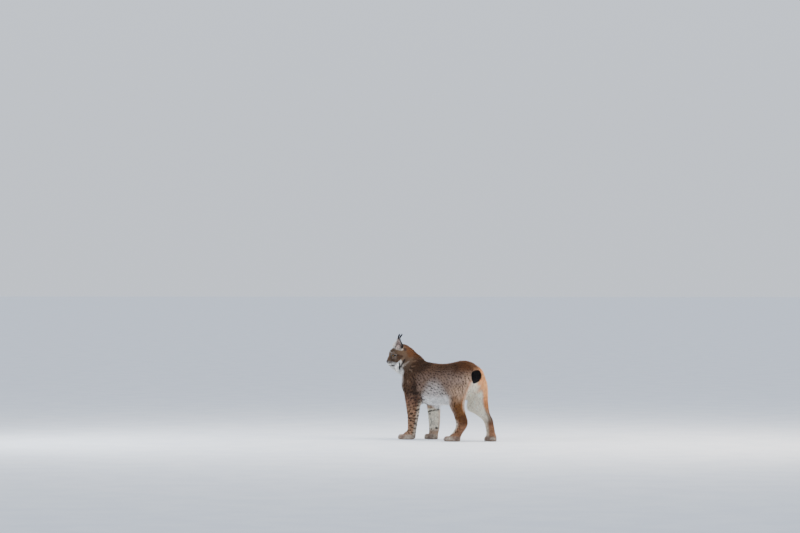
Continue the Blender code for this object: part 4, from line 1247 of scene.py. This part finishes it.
def make_coat(skin, tree, finishes, markings):
    """One piece of coat for each region of the skin: bent tufts on the trunk, fine spikes elsewhere."""
    bent = make_tuft("tuft", ((0.0, 0.72), (0.46, 1.0)), 1.28)
    spike = make_tuft("spike", ((0.0, 1.0),), 0.0)
    pieces = []
    for index, region in enumerate(REGIONS):
        trunk = region.startswith(("neck", "fore_trunk", "hind_trunk"))
        tuft = bent if trunk or region.startswith("tail") else spike
        mesh = grow("region", skin, tree, {
            "Tuft": tuft, "Share": TRUNK_SHARE if trunk else 1.0, "Region": index, "Seed": SEED + 20 * index,
            "Thickness": 0.42, "Stray": 0.42, "Patch": UV_PATCH, "Finish": finishes["coat"],
        })
        colours = root_colours(mesh, tuft, markings.at)
        piece = finish_tufts(f"coat_{region}", mesh, colours, finishes["coat"])
        pieces.append(piece)
    bpy.data.objects.remove(bent)
    bpy.data.objects.remove(spike)
    return pieces


# Eyes, nose, mouth and whiskers

def unit_ball(name):
    """A ball of radius 1. Its faces are sorted, as they come in another order each time."""
    bm = bmesh.new()
    bmesh.ops.create_uvsphere(bm, u_segments=48, v_segments=40, radius=1.0)
    made = mesh_from(name, bm)
    ball = bpy.data.meshes.new(name)
    ball.from_pydata(places_of(made), [], sorted(tuple(face.vertices) for face in made.polygons))
    bpy.data.meshes.remove(made)
    return ball


def make_eye(eye, finishes):
    """An eyeball with a bulging cornea, and the angles that its finish reads."""
    mesh = unit_ball(eye.name)
    places = places_of(mesh)
    x, y, z = places.T
    angle = np.arccos(np.clip(z, -1, 1))
    spin = np.arctan2(y, x)
    radius = EYE_RADIUS * (1 - EYE_SLACK) + CORNEA_BULGE * step(0.85, 0.0, angle)
    store(mesh, "from_pole", "FLOAT", angle)
    store(mesh, "spoke", "FLOAT_VECTOR", np.stack((np.cos(spin) * 3, np.sin(spin) * 3, angle * 0.8), axis=1))
    move_to(mesh, places * radius[:, None])
    mesh.transform(Matrix.Translation(eye.centre) @ eye.look.to_track_quat("Z", "Y").to_matrix().to_4x4())
    return smooth_piece(eye.name.replace("eye", "eyeball"), mesh, finishes["eye"])


def add_cord(bm, points, radii, sides=8):
    """A closed tapered tube through the points."""
    rings = []
    turns = [2 * pi * j / sides for j in range(sides)]
    for k, point in enumerate(points):
        along = (points[min(k + 1, len(points) - 1)] - points[max(k - 1, 0)]).normalized()
        side = along.cross(ASKEW).normalized()
        out = side.cross(along)
        rings.append([bm.verts.new(point + (side * cos(t) + out * sin(t)) * radii[k]) for t in turns])
    join_rings(bm, rings)
    bm.faces.new(rings[0][::-1])
    bm.faces.new(rings[-1])


def make_lid_rims(finishes):
    """The dark bare margins of the lids, drawn out to a point at the inner corners."""
    bm = bmesh.new()
    wide, high = OPENING
    for eye in eyes():
        points = []
        for k in range(33):
            turn = 2 * pi * k / 32
            inner = max(cos(turn) * -eye.side, 0.0) ** 6
            a = wide * cos(turn) * (1 + 0.16 * inner)
            b = high * sin(turn) * abs(sin(turn)) ** 0.35 - 0.0012 * inner
            depth = sqrt(max((EYE_RADIUS + 0.0007) ** 2 - a * a - b * b, 1e-8))
            points.append(eye.centre + eye.look * depth + eye.across * a + eye.up * b)
        add_cord(bm, points, [LID_RIM] * len(points))
    return closed_piece("lid_margins", bm, finishes["lip"])


def make_nose(frame, finishes):
    """The nose leather: the solid's form set back, broad above and narrow below, with curled nostrils."""
    piece = new_piece("nose_form", mesh_from("nose_form", merged_copy(frame["nodes"]["nose"], 0.0)))
    remesh = piece.modifiers.new("round", "REMESH")
    remesh.mode = "VOXEL"
    remesh.voxel_size = 0.0007
    soften = piece.modifiers.new("soften", "SMOOTH")
    soften.factor = 0.5
    soften.iterations = 8
    mesh = evaluated(piece)
    local = head_local(places_of(mesh))
    normals = normals_of(mesh) @ np.array(HEAD.to_3x3().inverted()).T
    f, s, u = local.T
    rear, low, high = f.min(), u.min(), u.max()
    rise = (u - low) / (high - low)
    s = s * (0.72 + 0.50 * rise)
    f = rear + (f - rear) * (0.88 + 0.10 * rise) - 0.0008
    curl = np.minimum(
        np.hypot(np.abs(s) - 0.0062, (u - low) - 0.42 * (high - low)) / 0.0030,
        np.hypot(np.abs(s) - 0.0088, (u - low) - 0.56 * (high - low)) / 0.0020,
    )
    groove = step(0.0011, 0.0, np.abs(s)) * step(0.5, 0.2, rise)
    dent = (0.0034 * step(1.15, 0.35, curl) + 0.0010 * groove) * (f > rear + 0.35 * (f.max() - rear))
    shaped = np.stack((f, s, u), axis=1) - unit(normals) * dent[:, None]
    turn = np.array(HEAD)
    move_to(mesh, shaped @ turn[:3, :3].T + turn[:3, 3])
    # How deep each point is dented, as the share of painted shade in the nostrils
    store(mesh, "nostril", "FLOAT", step(0.0006, 0.0024, dent))
    return smooth_piece("nose_pad", mesh, finishes["leather"])


def skin_hit(tree, origin, direction):
    """Where a line from the origin meets the skin."""
    hit = tree.ray_cast(origin, direction)[0]
    return hit if hit else origin + direction * 0.1


def lip_points(tree):
    """The line of the lips on the skin, from the left corner round the front to the right one."""
    points = []
    for side in (1, -1):
        row = []
        for turn, up in MOUTH:
            angle = radians(turn)
            out = head_direction(cos(angle), side * sin(angle), 0.0)
            middle = head_point(MOUTH_FORWARD, 0.0, up)
            row.append(skin_hit(tree, middle + out * 0.12, -out))
        points.append(curved(row, 6))
    return points[0][::-1] + points[1][1:]


def make_mouth(lips, finishes):
    """The dark line of the lips and the parting under the nose."""
    bm = bmesh.new()
    centre = head_point(0.06, 0.0, -0.046)
    proud = [p + (p - centre).normalized() * 0.0007 for p in lips]
    add_cord(bm, proud, tapered(len(proud), 0.0022, 0.0005))
    top, front = head_point(0.1035, 0.0, -0.0245), proud[len(proud) // 2]
    middle = (top + front) / 2 + head_direction(1, 0, 0) * 0.0006
    add_cord(bm, [top, middle, front], [0.0010, 0.0010, 0.0012])
    return closed_piece("lip_line", bm, finishes["lip"])


def curved(points, steps):
    """Points of a smooth curve through the given ones."""
    rows = [2 * points[0] - points[1], *points, 2 * points[-1] - points[-2]]
    made = []
    for before, a, b, after in zip(rows, rows[1:], rows[2:], rows[3:]):
        for k in range(steps):
            t = k / steps
            made.append(
                (2 * t**3 - 3 * t**2 + 1) * a + (t**3 - 2 * t**2 + t) * (b - before) / 2
                + (3 * t**2 - 2 * t**3) * b + (t**3 - t**2) * (after - a) / 2
            )
    made.append(points[-1])
    return made


def tapered(count, middle, end):
    """Radii of a cord that swells from its ends to its middle."""
    return [end + (middle - end) * sin(pi * k / (count - 1)) ** 0.4 for k in range(count)]


def add_hair(bm, root, way, length, droop, sag, radius, count):
    """A stiff tapered hair that sags as it goes. Returns how far along it each of its vertices lies."""
    steps = np.linspace(0, 1, count)
    points = [root + way * (length * t) + droop * (sag * t * t) for t in steps]
    add_cord(bm, points, [radius * (1 - 0.85 * t) for t in steps], 5)
    return np.repeat(steps, 5)


def make_whiskers(tree, finishes):
    """Stiff white hairs in rows on each side of the muzzle, and a few over each eye."""
    bm = bmesh.new()
    rng = np.random.default_rng(SEED + 3)
    alongs = []
    for side in (1, -1):
        for row, k in product(range(3), range(4)):
            forward, up = 0.098 - 0.0085 * k - 0.002 * row, -0.022 - 0.0065 * row
            out = head_direction(0.0, side, 0.0)
            root = skin_hit(tree, head_point(forward, side * 0.12, up), -out)
            length = (0.045 + 0.007 * k - 0.004 * row) * rng.uniform(0.8, 1.2)
            ahead = 0.15 + rng.uniform(-0.2, 0.2)
            way = head_direction(ahead, side, -0.10 + 30 * (up + 0.028) + rng.uniform(-0.15, 0.15))
            droop = head_direction(-0.80, side * 0.1, -0.45 + rng.uniform(-0.15, 0.25))
            alongs.append(add_hair(bm, root - way * 0.002, way, length, droop, length * 0.55, 0.00034, 9))
        for k in range(3):
            origin = head_point(0.2, side * (0.036 - 0.005 * k), 0.034 + 0.002 * k)
            root = skin_hit(tree, origin, head_direction(-1.0, 0.0, 0.0))
            way = head_direction(0.5, side * 0.4, 0.9)
            droop = head_direction(-0.9, side * 0.3, 0.0)
            alongs.append(add_hair(bm, root, way, 0.030, droop, 0.012, 0.00024, 7))
    piece = closed_piece("whiskers", bm, finishes["whisker"])
    store(piece.data, "along", "FLOAT", np.concatenate(alongs))
    return piece


# Ears

def ear_surface(side, depth, rows=14, columns=22):
    """Points of the ear's cup, its foot first. depth is how far inside the ear's outline they lie."""
    back, turn_out = EAR_POSE[side]
    lean = Matrix.Rotation(side * radians(-14), 3, "X") @ Matrix.Rotation(-back, 3, "Y")
    open_to = Matrix.Rotation(side * turn_out, 3, "Z")
    place = Vector((EAR_PLACE[0], side * EAR_PLACE[1], EAR_PLACE[2]))
    made = []
    for r in range(rows):
        v = -0.22 + 1.20 * r / (rows - 1)
        narrowing = (1.0 - min(max(v, 0.0), 0.999) ** 1.7) ** 0.8
        half = EAR_HALF_WIDTH * narrowing * (1.0 + 1.2 * min(v, 0.0)) + 0.0012
        curl = radians(104) - radians(46) * max(v, 0.0)
        radius = half / sin(min(curl, pi / 2))
        row = []
        for k in range(columns + 1):
            turn = curl * (2 * k / columns - 1)
            out = radius - depth
            flat = Vector((-out * cos(turn) + radius * 0.35, out * sin(turn), v * EAR_HEIGHT))
            flat.x -= 0.10 * EAR_HEIGHT * v * v
            flat = lean @ (open_to @ flat)
            flat.y -= side * 0.05 * max(0.20 - v, 0.0)
            row.append(HEAD @ (place + flat))
        made.append(row)
    return made


def ear_cup_mesh(name, outer, inner):
    """The closed wall between the back and the inside of an ear."""
    bm = bmesh.new()
    shells = [[[bm.verts.new(p) for p in row] for row in surface] for surface in (outer, inner)]
    for shell in shells:
        join_rows(bm, shell)
    for end in (0, -1):
        join_rows(bm, [shell[end] for shell in shells])
    for end in (0, -1):
        join_rows(bm, [[row[end] for row in shell] for shell in shells])
    return closed_mesh(name, bm)


def make_ear(name, side, finishes, tree, tuft):
    """The ear's thin cup, its short fur inside and out, and the tuft at its tip."""
    outer, inner = ear_surface(side, EAR_BACK_DEPTH), ear_surface(side, EAR_INSIDE_DEPTH)
    rows, columns = len(outer), len(outer[0])
    mesh = ear_cup_mesh(f"{name}_cup", outer, inner)
    places = places_of(mesh)
    across = np.tile(np.linspace(-1, 1, columns), rows * 2)
    height = np.tile(np.repeat(np.linspace(0, 1, rows), columns), 2)
    inside = np.arange(len(places)) >= rows * columns
    rise = np.array((outer[-1][columns // 2] - outer[2][columns // 2]).normalized())
    spin = np.array([(outer[5][-1] - outer[5][0]).normalized()]) * -np.sign(across)[:, None]
    lie = along_surface(rise + np.where(inside[:, None], spin * 0.9, spin * 0.1), normals_of(mesh))
    within = np.where(np.abs(across) > 0.8, 0.017, 0.008 + 0.010 * step(0.42, 0.20, height))
    colours = ear_colours(side, across, height, inside)
    store(mesh, "lie", "FLOAT_VECTOR", lie)
    store(mesh, "hair", "FLOAT", np.where(inside, within, 0.0075))
    store(mesh, "width", "FLOAT", np.where(inside, 0.0010, 0.0012))
    store(mesh, "lift", "FLOAT", np.radians(np.where(inside, 26.0, 18.0)))
    store(mesh, "cover", "FLOAT", np.where(inside, 3.6e5, 7.0e5))
    store(mesh, "region", "INT", np.zeros(len(places)))
    store(mesh, "coat", "FLOAT_COLOR", colours)
    cup = smooth_piece(f"{name}_cup", mesh, finishes["skin"])
    unwrap(cup)
    nearest = search_tree(places)

    def colours_at(roots):
        return colours[[nearest.find(Vector(p))[1] for p in roots]]

    grown = grow(f"{name}_fur", cup, tree, {
        "Tuft": tuft, "Share": 1.0, "Region": 0, "Seed": SEED + 300 + side, "Thickness": 0.4,
        "Stray": 0.30, "Patch": UV_PATCH, "Finish": finishes["coat"],
    })
    fur = finish_tufts(f"{name}_fur", grown, root_colours(grown, tuft, colours_at), finishes["coat"])
    tip = sum(outer[-1], Vector()) / columns
    way = (tip - sum(outer[8], Vector()) / columns).normalized()
    return cup, fur, make_ear_tuft(name, side, tip, way, finishes)


def ear_colours(side, across, height, inside):
    """Pale inside with a dark rear rim, and black behind with a grey patch."""
    rear = across if side > 0 else -across
    patch = step(0.55, 0.30, np.abs(across)) * step(0.15, 0.3, height) * step(0.72, 0.5, height)
    behind = layered(EAR_BACK, (
        (EAR_BACK_PATCH, patch * 0.9),
        (FACE_PALE, step(-0.45, -0.75, rear) * step(0.93, 0.80, height) * 0.85),
    ))
    within = layered(EAR_INSIDE, (
        (MUZZLE, step(0.45, 0.85, np.abs(across)) * 0.8),
        (EAR_BACK, step(0.74, 0.90, rear) * 0.95),
        (EAR_BACK, step(0.86, 0.97, height) * 0.9),
    ))
    return np.where(inside[:, None], within, behind)


def make_ear_tuft(name, side, tip, way, finishes):
    """A pencil of long black hairs that leans back from the ear's tip."""
    bm = bmesh.new()
    rng = np.random.default_rng(SEED + 40 + side)
    rear = head_direction(-1.0, 0.0, -0.15)
    flank = way.cross(rear).normalized()
    for _ in range(EAR_TUFT_HAIRS):
        turn = rng.uniform(0, 2 * pi)
        out = sqrt(rng.uniform(0, 1))
        offset = rear * (cos(turn) * out) + flank * (sin(turn) * out)
        low = rng.uniform(0.2, 1.0)
        root = tip - way * (0.014 * low) + offset * 0.0046
        length = EAR_TUFT_LENGTH * rng.uniform(0.72, 1.05) + 0.010 * low
        start = (way + rear * 0.14 + offset * 0.12).normalized()
        points = [
            root + start * (length * t) + rear * (0.36 * length * t * t) - offset * (0.0022 * t)
            for t in (0.0, 0.25, 0.5, 0.75, 1.0)
        ]
        add_cord(bm, points, [0.0004, 0.0005, 0.00045, 0.0003, 0.0001], 4)
    piece = closed_piece(f"{name}_tuft", bm, finishes["coat"])
    mesh = piece.data
    store(mesh, "coat", "FLOAT_COLOR", np.tile(BLACK, (len(mesh.vertices), 1)))
    store(mesh, "along", "FLOAT", np.tile(np.repeat((0.2, 0.4, 0.6, 0.8, 1.0), 4), EAR_TUFT_HAIRS))
    store(mesh, "shade", "FLOAT", np.repeat(rng.uniform(0, 1, EAR_TUFT_HAIRS), 20))
    store(mesh, "strand", "FLOAT_VECTOR", places_of(mesh) * 400)
    unwrap(piece)
    return piece


# Ruff

def make_ruff(name, side, skin, tree, finishes):
    """Long side whiskers that hang from the cheek, pale with two black streaks, brown at the rear."""
    mesh = skin.data.copy()
    local = head_local(places_of(mesh))
    f, s, u = local.T
    turn = (f + 0.034) / 0.086
    line = -0.060 * np.clip(turn, 0, 1)
    band = step(0.019, 0.011, np.abs(u - line)) * step(-0.02, 0.34, turn) * step(1.12, 0.95, turn)
    band *= (s * side > 0.012) & (lengths(local) < 0.105)
    turn = np.clip(turn, 0, 1)
    down = np.stack((-0.14 + 0.18 * turn, side * (0.42 - 0.30 * turn), -0.76 - 0.12 * turn), axis=1)
    down = along_surface(unit(down @ np.array(HEAD.to_3x3()).T), normals_of(mesh))
    store(mesh, "lie", "FLOAT_VECTOR", unit(mixed(vectors_of(mesh, "lie"), down, step(0.10, 0.55, turn))))
    store(mesh, "hair", "FLOAT", 0.022 + 0.026 * step(0.0, 0.7, turn))
    store(mesh, "width", "FLOAT", 0.0013 + 0.0004 * turn)
    store(mesh, "lift", "FLOAT", np.radians(12 + 22 * step(0.1, 0.8, turn)))
    store(mesh, "cover", "FLOAT", band * 4.2e5)
    store(mesh, "region", "INT", np.zeros(len(f)))
    holder = new_piece("ruff_ground", mesh)
    lock = make_tuft("lock", ((0.0, 0.6), (0.22, 0.95), (0.42, 1.0), (0.62, 0.85), (0.80, 0.55)), 1.76)
    grown = grow(name, holder, tree, {
        "Tuft": lock, "Share": 1.0, "Region": 0, "Seed": SEED + 500 + side, "Thickness": 0.42,
        "Stray": 0.36, "Patch": UV_PATCH, "Finish": finishes["coat"],
    })
    piece = finish_tufts(name, grown, ruff_colours(places_of(grown)), finishes["coat"])
    bpy.data.objects.remove(holder)
    bpy.data.objects.remove(lock)
    return piece


def ruff_colours(places):
    """The ruff from the side: brown behind, white in front, with two black streaks."""
    local = head_local(places)
    local += 0.0016 * np.stack([wave(local, 0.006, 9 + k) for k in range(3)], axis=1)
    f, u = local[:, 0], local[:, 2]
    edge = side_stripe(local, *RUFF_EDGE, 0.0045)
    return layered(FACE, (
        (NAPE, step(-0.02, -0.05, f + 0.95 * (u + 0.057)) * 0.5),
        (FACE_PALE, step(0.002, 0.012, f - 0.25 * (u + 0.05)) * 0.8),
        (MUZZLE, step(0.022, 0.032, f)),
        (FACE, step(-0.026, -0.010, u) * 0.85),
        *((BLACK, side_stripe(local, start, end, half) * 0.95) for start, end, half in RUFF_STREAKS),
        (CHEST_EDGE, edge * step(-0.045, -0.010, f) * 0.7),
    ))


# Studio

def make_studio(finishes):
    """A pale floor and sky, a warm key light from behind, one light from the front and one above."""
    bm = bmesh.new()
    bmesh.ops.create_grid(bm, x_segments=1, y_segments=1, size=900.0)
    floor = new_piece("floor", mesh_from("floor", bm))
    floor.data.materials.append(finishes["floor"])
    world = bpy.data.worlds.new("studio")
    world.use_nodes = True
    graph = Graph(world.node_tree)
    where = graph.node("ShaderNodeTexCoord", output="Generated")
    height = graph.node("ShaderNodeSeparateXYZ", {"Vector": where}, output="Z")
    tone = height.ramp(0.0, 0.30).mix((0.84, 0.90, 1.00), (0.96, 1.05, 1.20))
    world.node_tree.links.new(tone.out, world.node_tree.nodes["Background"].inputs["Color"])
    bpy.context.scene.world = world
    lights = (
        ("key", (3.2, 1.0, 3.4), 2.2, 235, (1.0, 0.90, 0.78)),
        ("front", (-3.0, -2.9, 2.3), 1.7, 150, (0.92, 0.96, 1.0)),
        ("top", (0.0, 0.0, 5.0), 3.5, 150, (1.0, 1.0, 1.0)),
    )
    for name, place, size, power, colour in lights:
        light = bpy.data.lights.new(name, "AREA")
        light.size = size
        light.energy = power
        light.color = colour
        lamp = new_piece(name, light)
        lamp.location = place
        lamp.rotation_mode = "QUATERNION"
        lamp.rotation_quaternion = (Vector((0.0, 0.0, 0.4)) - Vector(place)).to_track_quat("-Z", "Y")


def make_camera():
    """The photograph's viewing angle and framing, without shift."""
    right = Vector((cos(VIEW_AZIMUTH), sin(VIEW_AZIMUTH), 0.0))
    ahead = Vector((-sin(VIEW_AZIMUTH), cos(VIEW_AZIMUTH), 0.0))
    back = -ahead * cos(VIEW_ELEVATION) + Vector((0.0, 0.0, sin(VIEW_ELEVATION)))
    animal = Vector((0.0, 0.0, 0.42))
    aim = animal + right * ((IMAGE[0] / 2 - ORIGIN_PIXEL[0]) * PIXEL)
    aim.z = (ORIGIN_PIXEL[1] - IMAGE[1] / 2) * PIXEL
    camera = bpy.data.cameras.new("camera")
    camera.sensor_width = SENSOR
    camera.lens = SENSOR * CAMERA_DISTANCE / (IMAGE[0] * PIXEL)
    camera.clip_end = 3000.0
    holder = new_piece("camera", camera)
    holder.location = animal + back * CAMERA_DISTANCE
    holder.rotation_mode = "QUATERNION"
    holder.rotation_quaternion = (aim - holder.location).to_track_quat("-Z", "Y")
    bpy.context.scene.camera = holder


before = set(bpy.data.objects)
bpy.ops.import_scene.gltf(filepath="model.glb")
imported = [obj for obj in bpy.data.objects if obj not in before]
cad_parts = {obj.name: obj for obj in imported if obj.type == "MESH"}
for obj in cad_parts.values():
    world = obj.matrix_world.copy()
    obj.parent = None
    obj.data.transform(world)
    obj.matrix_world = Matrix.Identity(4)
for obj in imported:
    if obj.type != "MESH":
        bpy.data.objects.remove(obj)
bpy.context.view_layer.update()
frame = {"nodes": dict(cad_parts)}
HEAD = head_matrix()
finishes = make_finishes()
make_camera()
make_studio(finishes)
skin, labels, lips = make_skin(frame, finishes)
markings = Markings(skin, labels, lips)
store(skin.data, "coat", "FLOAT_COLOR", markings.at(places_of(skin.data)))
tree = coat_tree()
coat = make_coat(skin, tree, finishes, markings)
tuft = make_tuft("ear_hair", ((0.0, 1.0),), 0.0)
surface = surface_of(skin.data)
for name, side in (("left", 1), ("right", -1)):
    cup, fur, pencil = make_ear(f"ear_{name}", side, finishes, tree, tuft)
    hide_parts(f"ear_{name}")
    for piece in (cup, fur, pencil):
        coat.append(piece)
    locks = make_ruff(f"ruff_{name}_locks", side, skin, tree, finishes)
    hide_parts(f"ruff_{name}")
    coat.append(locks)
bpy.data.objects.remove(tuft)
for eye in eyes():
    name = eye.name
    ball = make_eye(eye, finishes)
    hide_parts(name)
    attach(ball, "root")
nose = make_nose(frame, finishes)
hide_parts("nose")
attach(nose, "root")
for piece in (make_lid_rims(finishes), make_mouth(lips, finishes)):
    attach(piece, "root")
hairs = make_whiskers(surface, finishes)
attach(hairs, "root")
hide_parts(*FLESH)
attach(skin, "root")
for piece in coat:
    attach(piece, "root")
